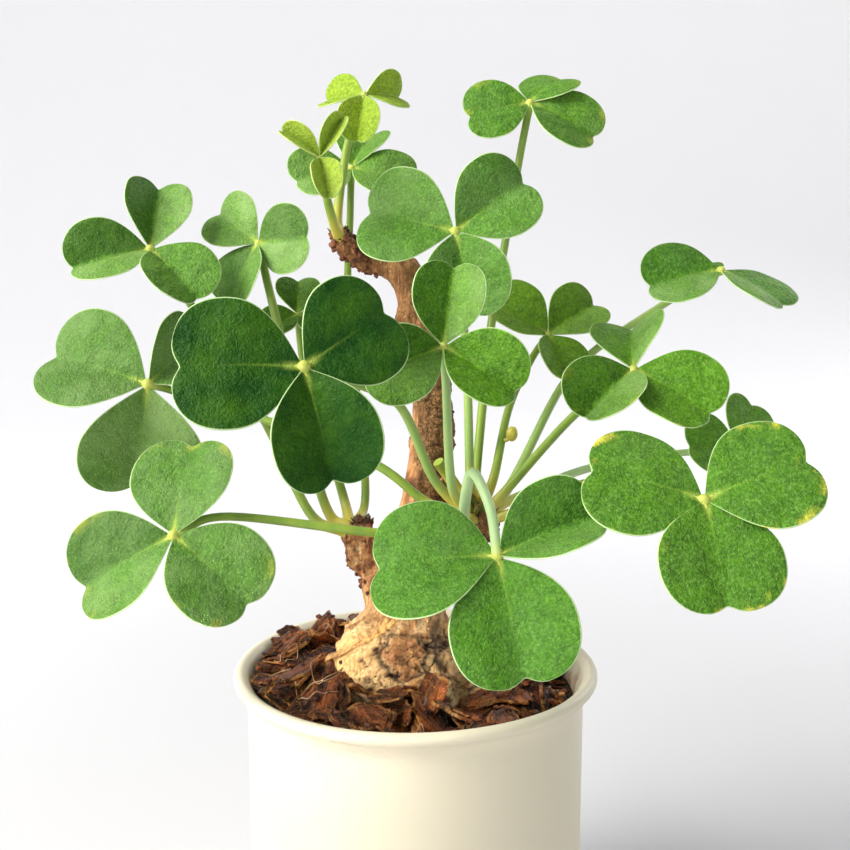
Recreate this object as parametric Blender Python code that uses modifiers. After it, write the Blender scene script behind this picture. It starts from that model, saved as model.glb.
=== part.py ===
"""Potted oxalis megalorrhiza: pot, soil, bark mulch, woody stem, and leaves of three leaflets on stalks.

Metres, +Z up. The origin is the centre of the pot's underside, and the front of the plant faces -Y.
"""

import math
import random
from collections import namedtuple

import bmesh
import bpy
from mathutils import Matrix, Vector, noise
from mathutils.bvhtree import BVHTree

# Pot
POT_HEIGHT = 0.062
POT_RADIUS = 0.0304
POT_WALL = 0.0018
POT_FLOOR = 0.004
FLOOR_CORNER = 0.002
LIP_RADIUS = 0.033
LIP_ROUND = 0.0013
LIP_ARC_START = 150
LIP_ARC_STEP = 37
LIP_ARC_POINTS = 7
NECK_BULGE = 0.0004
NECK_DEPTHS = (0.0040, 0.0065)
FLARE_START = 0.0560
FLARE_MIDDLE = (0.0294, 0.0590)
FOOT_CHAMFER = 0.0008
POT_STEPS = 40

# Soil and mulch
FIT_GAP = 0.0003
WALL_GAP = 0.0004
SOIL_TOP = 0.050
FILL_RADIUS = POT_RADIUS - POT_WALL - WALL_GAP
HOLE_CENTRE = (-0.0015, -0.0018)
HOLE_RADIUS = 0.0135
HOLE_FLOOR = 0.0354
HOLE_STEPS = 32
CUT_OVERSHOOT = 0.01
BED_TOP = 0.0562
CHIP_COUNT = 32
CHIP_SEED = 11
CHIP_INNER = 0.0160
CHIP_OUTER = 0.0262
CHIP_PILE = 0.0030
HEAP_LEAN = 0.0022
HEAP_LOW_SHARE = 0.4
CHIP_LENGTH = (0.011, 0.018)
CHIP_WIDTH = (0.006, 0.009)
CHIP_WIDTH_WANDER = (0.8, 1.1)
CHIP_TAPER = 1.1
CHIP_END_WANDER = 0.0008
CHIP_BEND = 0.0016
CHIP_LEAN = math.radians(16)
CHIP_THICKNESS = 0.0013
CHIP_EDGE_TOP = 0.0613
CHIP_EDGE_OUT = 0.0007
CHIP_TOP = 0.0632
GOLDEN_SHARE = 0.618034
GOLDEN_WANDER = 0.02

# Woody stem: each limb runs through points of x, y, z and radius
MAIN_STEM = (
    (-0.0015, -0.0015, 0.0365, 0.0075),
    (-0.0015, -0.0020, 0.0460, 0.0105),
    (-0.0015, -0.0025, 0.0540, 0.0138),
    (-0.0015, -0.0028, 0.0600, 0.0140),
    (-0.0022, -0.0030, 0.0655, 0.0108),
    (-0.0014, -0.0030, 0.0710, 0.0072),
    (-0.0006, -0.0030, 0.0770, 0.0056),
    (0.0008, -0.0025, 0.0870, 0.0045),
    (0.0024, -0.0015, 0.0980, 0.0041),
    (0.0028, -0.0005, 0.1080, 0.0034),
    (0.0022, 0.0008, 0.1180, 0.0029),
    (-0.0008, 0.0020, 0.1275, 0.0025),
    (-0.0028, 0.0030, 0.1335, 0.0026),
)
TOP_LEFT_STUB = (
    (-0.0028, 0.0030, 0.1330, 0.0024),
    (-0.0072, 0.0030, 0.1337, 0.0021),
    (-0.0108, 0.0020, 0.1358, 0.0022),
    (-0.0126, 0.0016, 0.1380, 0.0022),
)
TOP_RIGHT_STUB = (
    (-0.0028, 0.0030, 0.1325, 0.0023),
    (0.0012, 0.0030, 0.1338, 0.0018),
)
LEFT_BRANCH = (
    (-0.0035, -0.0010, 0.0670, 0.0040),
    (-0.0065, 0.0000, 0.0735, 0.0030),
    (-0.0080, 0.0010, 0.0780, 0.0027),
    (-0.0092, 0.0020, 0.0835, 0.0028),
    (-0.0092, 0.0020, 0.0885, 0.0026),
)
RIGHT_BRANCH = (
    (0.0000, -0.0030, 0.0800, 0.0040),
    (0.0045, -0.0060, 0.0830, 0.0034),
    (0.0090, -0.0100, 0.0875, 0.0034),
)
LIMBS = (MAIN_STEM, TOP_LEFT_STUB, TOP_RIGHT_STUB, LEFT_BRANCH, RIGHT_BRANCH)

# Crowns are the knobs that the stalks grow from: x, y, z and radius
CROWNS = {
    "top": (-0.0128, 0.0015, 0.1378, 0.0023),
    "left": (-0.0115, 0.0025, 0.0850, 0.0033),
    "right": (0.0100, -0.0115, 0.0905, 0.0042),
}
SCAR_KNOBS = (
    (-0.0090, 0.0035, 0.1345, 0.0016),
    (-0.0045, 0.0025, 0.1350, 0.0016),
    (-0.0022, 0.0005, 0.1243, 0.0018),
    (-0.0118, 0.0005, 0.0802, 0.0016),
)
LIMB_STEPS = 4
LIMB_ROUNDNESS = 4
KNOB_ROUNDNESS = 3
STEM_VOXEL = 0.0013
STEM_TRIANGLES = 2100
STEM_GAP = 0.0004
BARK_RELIEF = 0.0004
BARK_GRAIN = 0.0045
BARK_STRETCH = 0.5
BARK_OCTAVES = 2

# Leaf blades, in shares of the leaflet's length
BLADE_THICKNESS = 0.0006
BLADE_ROWS = (0.0, 0.30, 0.58, 0.82, 1.0)
BLADE_COLUMNS = (-1.0, -0.5, 0.0, 0.5, 1.0)
HUB_RADIUS = 0.0009
LEAFLET_START = (0.02, 0.03)
LEAFLET_WIDEST = (0.60, 0.52)
LEAFLET_LOBE = (1.04, 0.25)
LEAFLET_NOTCH = 0.95
LEAFLET_FLANK = (0.20, 0.18)
LEAFLET_SHOULDER = 0.38
LOBE_OUTWARD = 0.85
LOBE_ROUND = 0.40
WIDEST_ROW = 0.58
NOTCH_BULGE = 0.035
MIDRIB_ARCH = 0.05
HALF_CUP = 0.20
CREASE = 0.03

# Stalks
STALK_BASE_RADIUS = 0.00075
STALK_TIP_RADIUS = 0.00058
STALK_END_GAP = 0.00035
STALK_POINTS = 9
STALK_ROUNDNESS = 1
CUT_STALK_TAPER = 0.1

# A leaf has its hub's place, its leaflets' length, the crown it grows from, the points its stalk passes,
# and for each leaflet the clock angle and tilt to the front of its midrib, its fold and its roll in degrees
Leaf = namedtuple("Leaf", "hub length crown route leaflets")
LEAVES = (
    Leaf(
        (-0.0087, 0.0020, 0.1625), 0.0092, "top",
        ((-0.0136, 0.0024, 0.1420), (-0.0117, 0.0025, 0.1540)),
        ((191, -26, 25, 0), (352, -30, 30, 0), (260, 28, 20, 0)),
    ),
    Leaf(
        (-0.0155, -0.0090, 0.1510), 0.0085, "top",
        ((-0.0138, -0.0025, 0.1405), (-0.0147, -0.0065, 0.1450)),
        ((148, -20, 46, 0), (66, -22, 46, 0), (286, 36, 42, 0)),
    ),
    Leaf(
        (-0.0118, 0.0140, 0.1510), 0.0120, "left",
        ((-0.0095, 0.0105, 0.0925), (-0.0125, 0.0130, 0.1250), (-0.0121, 0.0142, 0.1430)),
        ((195, 31, 25, 0), (62, -45, 25, 0), (353, 18, 25, 0)),
    ),
    Leaf(
        (-0.0466, 0.0030, 0.1362), 0.0162, "left",
        ((-0.0190, 0.0005, 0.0895), (-0.0276, 0.0030, 0.1068), (-0.0399, 0.0040, 0.1265)),
        ((186, -5, 40, 10), (86, -46, 32, 14), (322, 34, 38, -8)),
    ),
    Leaf(
        (-0.0283, 0.0080, 0.1374), 0.0120, "left",
        ((-0.0170, 0.0040, 0.0915), (-0.0250, 0.0055, 0.1240)),
        ((145, -38, 25, 0), (3, 38, 14, 0), (245, 13, 30, 0)),
    ),
    Leaf(
        (-0.0221, 0.0140, 0.1243), 0.0075, "left",
        ((-0.0140, 0.0085, 0.0925), (-0.0207, 0.0145, 0.1130)),
        ((93, -38, 15, 0), (213, 29, 25, 0), (338, 22, 25, 0)),
    ),
    Leaf(
        (-0.0152, -0.0410, 0.1198), 0.0180, "right",
        ((0.0030, -0.0150, 0.0990), (-0.0021, -0.0195, 0.1112), (-0.0083, -0.0255, 0.1155)),
        ((180, 12, 4, 0), (28, -41, 18, 0), (286, 25, 22, 0)),
    ),
    Leaf(
        (-0.0447, -0.0100, 0.1139), 0.0184, "right",
        (
            (0.0015, -0.0120, 0.0945), (-0.0072, -0.0120, 0.1010),
            (-0.0260, -0.0080, 0.1078), (-0.0405, -0.0068, 0.1122),
        ),
        ((165, -14, 18, 0), (267, 7, 8, 0), (38, -40, 28, 0)),
    ),
    Leaf(
        (-0.0371, -0.0280, 0.0924), 0.0174, "right",
        ((0.0030, -0.0165, 0.0903), (-0.0061, -0.0205, 0.0910), (-0.0295, -0.0240, 0.0945)),
        ((84, -44, 25, 0), (210, 2, 20, 0), (327, 26, 18, 0)),
    ),
    Leaf(
        (0.0126, -0.0330, 0.0905), 0.0190, "right",
        ((0.0080, -0.0186, 0.0930), (0.0090, -0.0240, 0.1015), (0.0115, -0.0305, 0.0975)),
        ((187, -14, 18, 0), (13, -30, 32, -20), (281, 22, 9, 0)),
    ),
    Leaf(
        (0.0428, -0.0350, 0.0995), 0.0177, "right",
        ((0.0160, -0.0150, 0.0930), (0.0273, -0.0170, 0.0983), (0.0360, -0.0265, 0.1005)),
        ((172, -16, 20, 0), (15, -16, 18, 0), (275, 37, 12, 0)),
    ),
    Leaf(
        (0.0607, 0.0120, 0.0990), 0.0112, "right",
        ((0.0168, -0.0078, 0.0938), (0.0307, 0.0020, 0.0972), (0.0480, 0.0130, 0.0980)),
        ((173, 22, 20, 0), (52, -20, 20, 0), (312, 55, 20, 0)),
    ),
    Leaf(
        (0.0365, -0.0100, 0.1163), 0.0150, "right",
        ((0.0145, -0.0145, 0.0960), (0.0266, -0.0100, 0.1085)),
        ((215, 40, 30, 0), (330, 30, 12, 0), (79, -52, 30, -12)),
    ),
    Leaf(
        (0.0241, 0.0080, 0.1209), 0.0114, "right",
        ((0.0135, -0.0085, 0.0980), (0.0166, 0.0010, 0.1084), (0.0210, 0.0068, 0.1165)),
        ((144, -4, 20, 0), (31, -14, 20, 0), (284, 47, 25, -15)),
    ),
    Leaf(
        (0.0546, 0.0060, 0.1325), 0.0145, "right",
        (
            (0.0162, -0.0112, 0.0972), (0.0255, 0.0020, 0.1113),
            (0.0322, 0.0070, 0.1179), (0.0463, 0.0095, 0.1270),
        ),
        ((187, 14, 15, -32), (322, 56, 12, -8), (190, -60, 12, 0)),
    ),
    Leaf(
        (0.0198, 0.0030, 0.1612), 0.0128, "right",
        (
            (0.0105, -0.0075, 0.0985), (0.0130, -0.0020, 0.1220),
            (0.0157, 0.0030, 0.1370), (0.0180, 0.0040, 0.1508),
        ),
        ((199, 30, 16, -10), (327, 8, 18, 10), (34, -68, 20, 0)),
    ),
    Leaf(
        (0.0067, -0.0090, 0.1391), 0.0150, "right",
        ((0.0092, -0.0118, 0.0990), (0.0089, -0.0100, 0.1120), (0.0084, -0.0085, 0.1215)),
        ((169, -5, 5, 0), (35, -15, 20, 0), (290, 26, 30, 0)),
    ),
    Leaf(
        (0.0045, -0.0240, 0.1213), 0.0137, "right",
        ((0.0060, -0.0172, 0.0985), (0.0050, -0.0225, 0.1150)),
        ((80, -30, 25, 0), (329, 15, 25, 0), (204, 17, 25, 0)),
    ),
)
CUT_STALK_ROUTE = ((0.0062, -0.0100, 0.0975), (0.0039, -0.0115, 0.1010))

# Colours, red, green and blue in linear light
CERAMIC = (0.86, 0.82, 0.70)
DARK_SOIL = (0.045, 0.022, 0.012)
BARK_CHIP = (0.16, 0.06, 0.025)
STEM_BARK = (0.50, 0.30, 0.14)
LEAF_GREEN = (0.09, 0.30, 0.06)
YOUNG_GREEN = (0.35, 0.55, 0.08)
STALK_GREEN = (0.32, 0.50, 0.16)


def clear_scene():
    for old in list(bpy.data.objects):
        bpy.data.objects.remove(old, do_unlink=True)


def new_collection(name):
    collection = bpy.data.collections.new(name)
    bpy.context.scene.collection.children.link(collection)
    return collection


def make_material(name, colour, roughness):
    made = bpy.data.materials.new(name)
    made.use_nodes = True
    shader = made.node_tree.nodes["Principled BSDF"]
    shader.inputs["Base Color"].default_value = (*colour, 1.0)
    shader.inputs["Roughness"].default_value = roughness
    shader.inputs["Metallic"].default_value = 0.0
    return made


def add_object(name, data, collection, material=None):
    made = bpy.data.objects.new(name, data)
    collection.objects.link(made)
    if material is not None:
        data.materials.append(material)
    return made


def mesh_from_bmesh(name, shape):
    mesh = bpy.data.meshes.new(name)
    shape.to_mesh(mesh)
    shape.free()
    return mesh


def evaluated_mesh(thing):
    """The object's mesh with its modifiers applied, in world space."""
    bpy.context.view_layer.update()
    graph = bpy.context.evaluated_depsgraph_get()
    mesh = bpy.data.meshes.new_from_object(thing.evaluated_get(graph))
    mesh.transform(thing.matrix_world)
    return mesh


def solid_from(thing, name, collection, material=None, weld=0.00001):
    """Replaces an object by a plain mesh object of its evaluated shape, with its caps welded."""
    shape = bmesh.new()
    shape.from_mesh(evaluated_mesh(thing))
    if weld > 0:
        bmesh.ops.remove_doubles(shape, verts=shape.verts, dist=weld)
    bpy.data.objects.remove(thing, do_unlink=True)
    mesh = mesh_from_bmesh(name, shape)
    mesh.materials.clear()
    return add_object(name, mesh, collection, material)


def combine(base, others, operation, solver, name, collection, material=None):
    """Applies one Boolean of a collection to the base, and removes the collection's objects."""
    group = new_collection(name + "_group")
    for other in others:
        for owner in list(other.users_collection):
            owner.objects.unlink(other)
        group.objects.link(other)
    step = base.modifiers.new("combine", "BOOLEAN")
    step.operation = operation
    step.operand_type = "COLLECTION"
    step.collection = group
    step.solver = solver
    made = solid_from(base, name, collection, material, weld=0)
    for other in list(group.objects):
        bpy.data.objects.remove(other, do_unlink=True)
    bpy.data.collections.remove(group)
    return made


def keep_largest_piece(thing):
    """Drops the loose scraps that a cut leaves beside the main body."""
    shape = bmesh.new()
    shape.from_mesh(thing.data)
    waiting = set(shape.verts)
    islands = []
    while waiting:
        island = set()
        edge_of_search = [waiting.pop()]
        while edge_of_search:
            vertex = edge_of_search.pop()
            island.add(vertex)
            near = {edge.other_vert(vertex) for edge in vertex.link_edges} & waiting
            waiting -= near
            edge_of_search.extend(near)
        islands.append(island)
    largest = max(islands, key=len)
    scraps = [vertex for vertex in shape.verts if vertex not in largest]
    bmesh.ops.delete(shape, geom=scraps, context="VERTS")
    shape.to_mesh(thing.data)
    shape.free()


def turned(name, profile, steps, collection, material):
    """A profile of radius and height pairs, up the inside and down the outside, spun round Z."""
    shape = bmesh.new()
    vertices = [shape.verts.new((radius, 0.0, height)) for radius, height in profile]
    for first, second in zip(vertices, vertices[1:]):
        shape.edges.new((first, second))
    made = add_object(name, mesh_from_bmesh(name, shape), collection, material)
    spin = made.modifiers.new("spin", "SCREW")
    spin.steps = steps
    spin.render_steps = steps
    spin.use_merge_vertices = True
    spin.merge_threshold = 0.00001
    return made


def cylinder(name, centre, radius, low, high, steps, collection):
    shape = bmesh.new()
    bmesh.ops.create_cone(
        shape, cap_ends=True, segments=steps, radius1=radius, radius2=radius, depth=high - low
    )
    made = add_object(name, mesh_from_bmesh(name, shape), collection)
    made.location = (centre[0], centre[1], (low + high) / 2)
    return made


def spline_value(before, start, end, after, t):
    """A Catmull-Rom curve from start to end, at share t of the way."""
    slope = end - before
    bend = 2 * before - 5 * start + 4 * end - after
    twist = 3 * start - before - 3 * end + after
    return 0.5 * (2 * start + slope * t + bend * t * t + twist * t**3)


def smooth_route(points, count):
    """Evenly spread points on a smooth curve through the given ones, which may carry a radius as well."""
    before_first = [2 * a - b for a, b in zip(points[0], points[1])]
    after_last = [2 * a - b for a, b in zip(points[-1], points[-2])]
    guide = [before_first, *points, after_last]
    spans = len(points) - 1
    route = []
    for index in range(count):
        place = spans * index / (count - 1)
        span = min(int(place), spans - 1)
        route.append([spline_value(*four, place - span) for four in zip(*guide[span : span + 4])])
    return route


def tube(name, places, radii, sides_level, collection, material=None):
    """A round rod along the places, as a curve with a bevel and filled caps."""
    curve = bpy.data.curves.new(name, "CURVE")
    curve.dimensions = "3D"
    curve.fill_mode = "FULL"
    curve.use_fill_caps = True
    curve.bevel_depth = 1.0
    curve.bevel_resolution = sides_level
    spline = curve.splines.new("POLY")
    spline.points.add(len(places) - 1)
    for point, place, radius in zip(spline.points, places, radii):
        point.co = (*place, 1.0)
        point.radius = radius
    return add_object(name, curve, collection, material)


def pot(collection, material):
    inner = POT_RADIUS - POT_WALL
    lip_centre = LIP_RADIUS - LIP_ROUND
    lip_height = POT_HEIGHT - LIP_ROUND
    neck_top, neck_foot = NECK_DEPTHS
    profile = [(0.0, POT_FLOOR), (inner - FLOOR_CORNER, POT_FLOOR), (inner, POT_FLOOR + FLOOR_CORNER)]
    profile += [(inner, FLARE_START), FLARE_MIDDLE]
    for step in range(LIP_ARC_POINTS):
        angle = math.radians(LIP_ARC_START - LIP_ARC_STEP * step)
        profile.append((lip_centre + LIP_ROUND * math.cos(angle), lip_height + LIP_ROUND * math.sin(angle)))
    profile += [(POT_RADIUS + NECK_BULGE, POT_HEIGHT - neck_top), (POT_RADIUS, POT_HEIGHT - neck_foot)]
    profile += [(POT_RADIUS, FOOT_CHAMFER), (POT_RADIUS - FOOT_CHAMFER, 0.0), (0.0, 0.0)]
    made = turned("pot", profile, POT_STEPS, collection, material)
    made.data.shade_smooth()
    return made


def soil(collection, material):
    low = POT_FLOOR + FLOOR_CORNER + FIT_GAP
    high = SOIL_TOP + CUT_OVERSHOOT
    block = cylinder("soil_block", (0.0, 0.0), FILL_RADIUS, low, SOIL_TOP, POT_STEPS, collection)
    hole = cylinder("stem_hole", HOLE_CENTRE, HOLE_RADIUS, HOLE_FLOOR, high, HOLE_STEPS, collection)
    return combine(block, [hole], "DIFFERENCE", "EXACT", "soil", collection, material)


def woody_stem(collection, material):
    pieces = []
    for number, limb in enumerate(LIMBS):
        route = smooth_route(limb, LIMB_STEPS * len(limb))
        places = [point[:3] for point in route]
        radii = [point[3] for point in route]
        rod = tube(f"limb_{number}", places, radii, LIMB_ROUNDNESS, collection)
        pieces.append(solid_from(rod, "limb", collection))
    shape = bmesh.new()
    for piece in pieces:
        shape.from_mesh(piece.data)
        bpy.data.objects.remove(piece, do_unlink=True)
    for x, y, z, radius in (*CROWNS.values(), *SCAR_KNOBS):
        middle = Matrix.Translation((x, y, z))
        bmesh.ops.create_icosphere(shape, subdivisions=KNOB_ROUNDNESS, radius=radius, matrix=middle)
    rough = add_object("rough_stem", mesh_from_bmesh("rough_stem", shape), collection)
    remesh = rough.modifiers.new("grow together", "REMESH")
    remesh.mode = "VOXEL"
    remesh.voxel_size = STEM_VOXEL
    grown = solid_from(rough, "grown_stem", collection)
    normals = [vertex.normal.copy() for vertex in grown.data.vertices]
    for vertex, normal in zip(grown.data.vertices, normals):
        place = vertex.co / BARK_GRAIN
        place.z *= BARK_STRETCH
        vertex.co += normal * BARK_RELIEF * noise.fractal(place, 1.0, 2.0, BARK_OCTAVES)
    triangles = sum(len(face.vertices) - 2 for face in grown.data.polygons)
    thin = grown.modifiers.new("fewer faces", "DECIMATE")
    thin.ratio = STEM_TRIANGLES / triangles
    made = solid_from(grown, "trunk", collection, material)
    keep_largest_piece(made)
    made.data.shade_smooth()
    return made


def stem_cutter(stem, collection):
    """The stem grown by the gap that its neighbours keep from it."""
    cutter = add_object("stem_cutter", stem.data.copy(), collection)
    normals = [vertex.normal.copy() for vertex in cutter.data.vertices]
    for vertex, normal in zip(cutter.data.vertices, normals):
        vertex.co += normal * STEM_GAP
    return cutter


def bark_chip(draw, number, collection):
    """One bent flake of bark with uneven ends."""
    length = draw.uniform(*CHIP_LENGTH)
    width = draw.uniform(*CHIP_WIDTH)
    bend = draw.uniform(-CHIP_BEND, CHIP_BEND)
    shape = bmesh.new()
    bmesh.ops.create_grid(shape, x_segments=3, y_segments=1, size=0.5)
    for vertex in shape.verts:
        along = vertex.co.x
        vertex.co.x = along * length + draw.uniform(-CHIP_END_WANDER, CHIP_END_WANDER)
        vertex.co.y *= width * (1.0 - CHIP_TAPER * along * along) * draw.uniform(*CHIP_WIDTH_WANDER)
        vertex.co.z = bend * (1.0 - 4.0 * along * along)
    bmesh.ops.triangulate(shape, faces=shape.faces)
    chip = add_object(f"chip_{number}", mesh_from_bmesh("chip", shape), collection)
    thickness = chip.modifiers.new("thickness", "SOLIDIFY")
    thickness.thickness = CHIP_THICKNESS
    thickness.offset = 0.0
    turn_share = (number * GOLDEN_SHARE) % 1.0
    reach = CHIP_INNER + (CHIP_OUTER - CHIP_INNER) * math.sqrt(draw.random())
    around = 2 * math.pi * (turn_share + draw.uniform(-GOLDEN_WANDER, GOLDEN_WANDER))
    height = BED_TOP + CHIP_PILE * draw.random() + HEAP_LEAN * (HEAP_LOW_SHARE - math.cos(around))
    chip.location = (reach * math.cos(around), reach * math.sin(around), height)
    leans = [draw.uniform(-CHIP_LEAN, CHIP_LEAN) for axis in range(2)]
    chip.rotation_euler = (*leans, draw.uniform(0, 2 * math.pi))
    return chip


def pot_room(collection):
    """The space inside the pot that the mulch may fill, just clear of the flared wall."""
    flare_radius, flare_height = FLARE_MIDDLE
    profile = [(0.0, CHIP_TOP), (flare_radius, CHIP_TOP), (flare_radius + CHIP_EDGE_OUT, CHIP_EDGE_TOP)]
    profile += [(flare_radius - WALL_GAP, flare_height), (FILL_RADIUS, FLARE_START)]
    profile += [(FILL_RADIUS, SOIL_TOP), (0.0, SOIL_TOP)]
    return solid_from(turned("pot_room", profile, POT_STEPS, collection, None), "pot_room", collection)


def bark_mulch(stem, collection, material):
    draw = random.Random(CHIP_SEED)
    bed = cylinder("mulch_bed", (0.0, 0.0), FILL_RADIUS, SOIL_TOP + FIT_GAP, BED_TOP, POT_STEPS, collection)
    chips = []
    for number in range(CHIP_COUNT):
        chip = bark_chip(draw, number, collection)
        chips.append(solid_from(chip, f"chip_{number}", collection))
    heap = combine(bed, chips, "UNION", "MANIFOLD", "mulch_heap", collection)
    heap = combine(heap, [pot_room(collection)], "INTERSECT", "MANIFOLD", "mulch_in_pot", collection)
    cutter = stem_cutter(stem, collection)
    made = combine(heap, [cutter], "DIFFERENCE", "MANIFOLD", "bark_mulch", collection, material)
    keep_largest_piece(made)
    return made


def bezier(a, b, c, d, t):
    s = 1.0 - t
    return [s**3 * p + 3 * s * s * t * q + 3 * s * t * t * r + t**3 * e for p, q, r, e in zip(a, b, c, d)]


def margin_point(row):
    """The side of a half blade, from its base at row 0 to the top of its lobe at row 1."""
    start, widest, lobe = LEAFLET_START, LEAFLET_WIDEST, LEAFLET_LOBE
    if row < WIDEST_ROW:
        return bezier(start, LEAFLET_FLANK, (LEAFLET_SHOULDER, widest[1]), widest, row / WIDEST_ROW)
    share = (row - WIDEST_ROW) / (1.0 - WIDEST_ROW)
    return bezier(widest, (LOBE_OUTWARD, widest[1]), (lobe[0], LOBE_ROUND), lobe, share)


def blade_point(row, column):
    """A place on the flat blade, along and across. Column runs from -1 to 1, from margin to margin."""
    side = abs(column)
    root = LEAFLET_START[0] + (LEAFLET_NOTCH - LEAFLET_START[0]) * row
    edge = margin_point(row)
    bulge = NOTCH_BULGE * math.sin(math.pi * side) * row**4
    along = root + (edge[0] - root) * side + bulge
    return along, math.copysign(edge[1] * side, column)


def midrib_direction(leaflet):
    clock = math.radians(leaflet[0])
    tilt = math.radians(leaflet[1])
    return Vector((math.cos(tilt) * math.cos(clock), -math.sin(tilt), math.cos(tilt) * math.sin(clock)))


def leaf_normal(leaf):
    """The way a leaf faces: square to the plane through its three leaflets' tips."""
    first, second, third = (midrib_direction(leaflet) for leaflet in leaf.leaflets)
    normal = (second - first).cross(third - first).normalized()
    return normal if normal.y < 0 else -normal


def leaflet_frame(leaf, leaflet):
    """The directions along the midrib, to its left and out of its upper face."""
    forward = midrib_direction(leaflet)
    facing = leaf_normal(leaf)
    upper = (facing - forward * facing.dot(forward)).normalized()
    left = upper.cross(forward)
    roll = math.radians(leaflet[3])
    turned_left = left * math.cos(roll) + upper * math.sin(roll)
    turned_upper = upper * math.cos(roll) - left * math.sin(roll)
    return forward, turned_left, turned_upper


def leaflet_place(leaf, leaflet, frame, row, column):
    """A point of the folded and arched blade in world space."""
    along, across = blade_point(row, column)
    fold = math.radians(leaflet[2])
    off_midrib = math.sqrt(across * across + CREASE * CREASE) - CREASE
    rise = off_midrib * math.sin(fold) - HALF_CUP * across * across
    rise += 4 * MIDRIB_ARCH * along * (LEAFLET_NOTCH - along)
    forward, left, upper = frame
    offset = forward * along + left * (across * math.cos(fold)) + upper * rise
    return Vector(leaf.hub) + offset * leaf.length


def leaflet_blade(name, leaf, leaflet, collection):
    frame = leaflet_frame(leaf, leaflet)
    shape = bmesh.new()
    grid = []
    for row in BLADE_ROWS:
        line = [leaflet_place(leaf, leaflet, frame, row, column) for column in BLADE_COLUMNS]
        grid.append([shape.verts.new(place) for place in line])
    for low, high in zip(grid, grid[1:]):
        for column in range(len(BLADE_COLUMNS) - 1):
            corners = (low[column], low[column + 1], high[column + 1], high[column])
            face = shape.faces.new(corners[::-1])
            face.smooth = True
    bmesh.ops.triangulate(shape, faces=shape.faces)
    blade = add_object(name, mesh_from_bmesh(name, shape), collection)
    thickness = blade.modifiers.new("thickness", "SOLIDIFY")
    thickness.thickness = BLADE_THICKNESS
    thickness.offset = 0.0
    thickness.use_even_offset = True
    return solid_from(blade, name, collection)


def leaf_blade(number, leaf, collection, material):
    name = f"leaf_{number:02d}_blade"
    shape = bmesh.new()
    bmesh.ops.create_icosphere(shape, subdivisions=1, radius=HUB_RADIUS, matrix=Matrix.Translation(leaf.hub))
    hub = add_object("hub", mesh_from_bmesh("hub", shape), collection)
    leaflets = []
    for place, leaflet in enumerate(leaf.leaflets):
        leaflets.append(leaflet_blade(f"leaflet_{place}", leaf, leaflet, collection))
    return combine(hub, leaflets, "UNION", "EXACT", name, collection, material)


def stalk_start(stem_surface, crown, towards):
    """The point just clear of the crown, on the line from its middle to the stalk's first point."""
    centre = Vector(CROWNS[crown][:3])
    outside = Vector(towards)
    inward = (centre - outside).normalized()
    touched = stem_surface.ray_cast(outside, inward)[0]
    return touched - inward * STALK_END_GAP


def stalk(name, places, end_share, collection, material):
    """A stalk that narrows from its base. With an end share under 1 it keeps more of its width."""
    route = smooth_route(places, STALK_POINTS)
    change = (STALK_TIP_RADIUS - STALK_BASE_RADIUS) * end_share
    radii = [STALK_BASE_RADIUS + change * index / (STALK_POINTS - 1) for index in range(STALK_POINTS)]
    return tube(name, route, radii, STALK_ROUNDNESS, collection, material)


def leaf_stalk(number, leaf, stem_surface, collection, material):
    start = stalk_start(stem_surface, leaf.crown, leaf.route[0])
    hub = Vector(leaf.hub)
    back = (Vector(leaf.route[-1]) - hub).normalized()
    end = hub + back * (HUB_RADIUS + STALK_END_GAP)
    return stalk(f"leaf_{number:02d}_stalk", [start, *leaf.route, end], 1.0, collection, material)


def build():
    clear_scene()
    plant = new_collection("potted_oxalis")
    ceramic = make_material("cream ceramic", CERAMIC, 0.45)
    earth = make_material("dark soil", DARK_SOIL, 0.95)
    chips = make_material("pine bark", BARK_CHIP, 0.85)
    bark = make_material("stem bark", STEM_BARK, 0.85)
    green = make_material("leaf", LEAF_GREEN, 0.55)
    young = make_material("young leaf", YOUNG_GREEN, 0.55)
    stalk_green = make_material("stalk", STALK_GREEN, 0.50)
    pot(plant, ceramic)
    soil(plant, earth)
    stem = woody_stem(plant, bark)
    bark_mulch(stem, plant, chips)
    stem_surface = BVHTree.FromObject(stem, bpy.context.evaluated_depsgraph_get())
    for number, leaf in enumerate(LEAVES, start=1):
        leaf_blade(number, leaf, plant, young if leaf.crown == "top" else green)
        leaf_stalk(number, leaf, stem_surface, plant, stalk_green)
    start = stalk_start(stem_surface, "right", CUT_STALK_ROUTE[0])
    stalk("cut_stalk", [start, *CUT_STALK_ROUTE], CUT_STALK_TAPER, plant, stalk_green)


if __name__ == "__main__":
    build()
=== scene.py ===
"""Looks of a potted oxalis megalorrhiza, laid out as a Blender add-on and run as a script.

Metres, +Z up, and the front of the plant faces -Y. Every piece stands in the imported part's own frame.
"""

import math
import random
from collections import namedtuple
from contextlib import contextmanager

import bpy
import numpy as np
from bpy.props import FloatProperty, FloatVectorProperty, IntProperty, PointerProperty
from mathutils import Matrix, Vector, kdtree, noise
from mathutils.bvhtree import BVHTree


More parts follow.
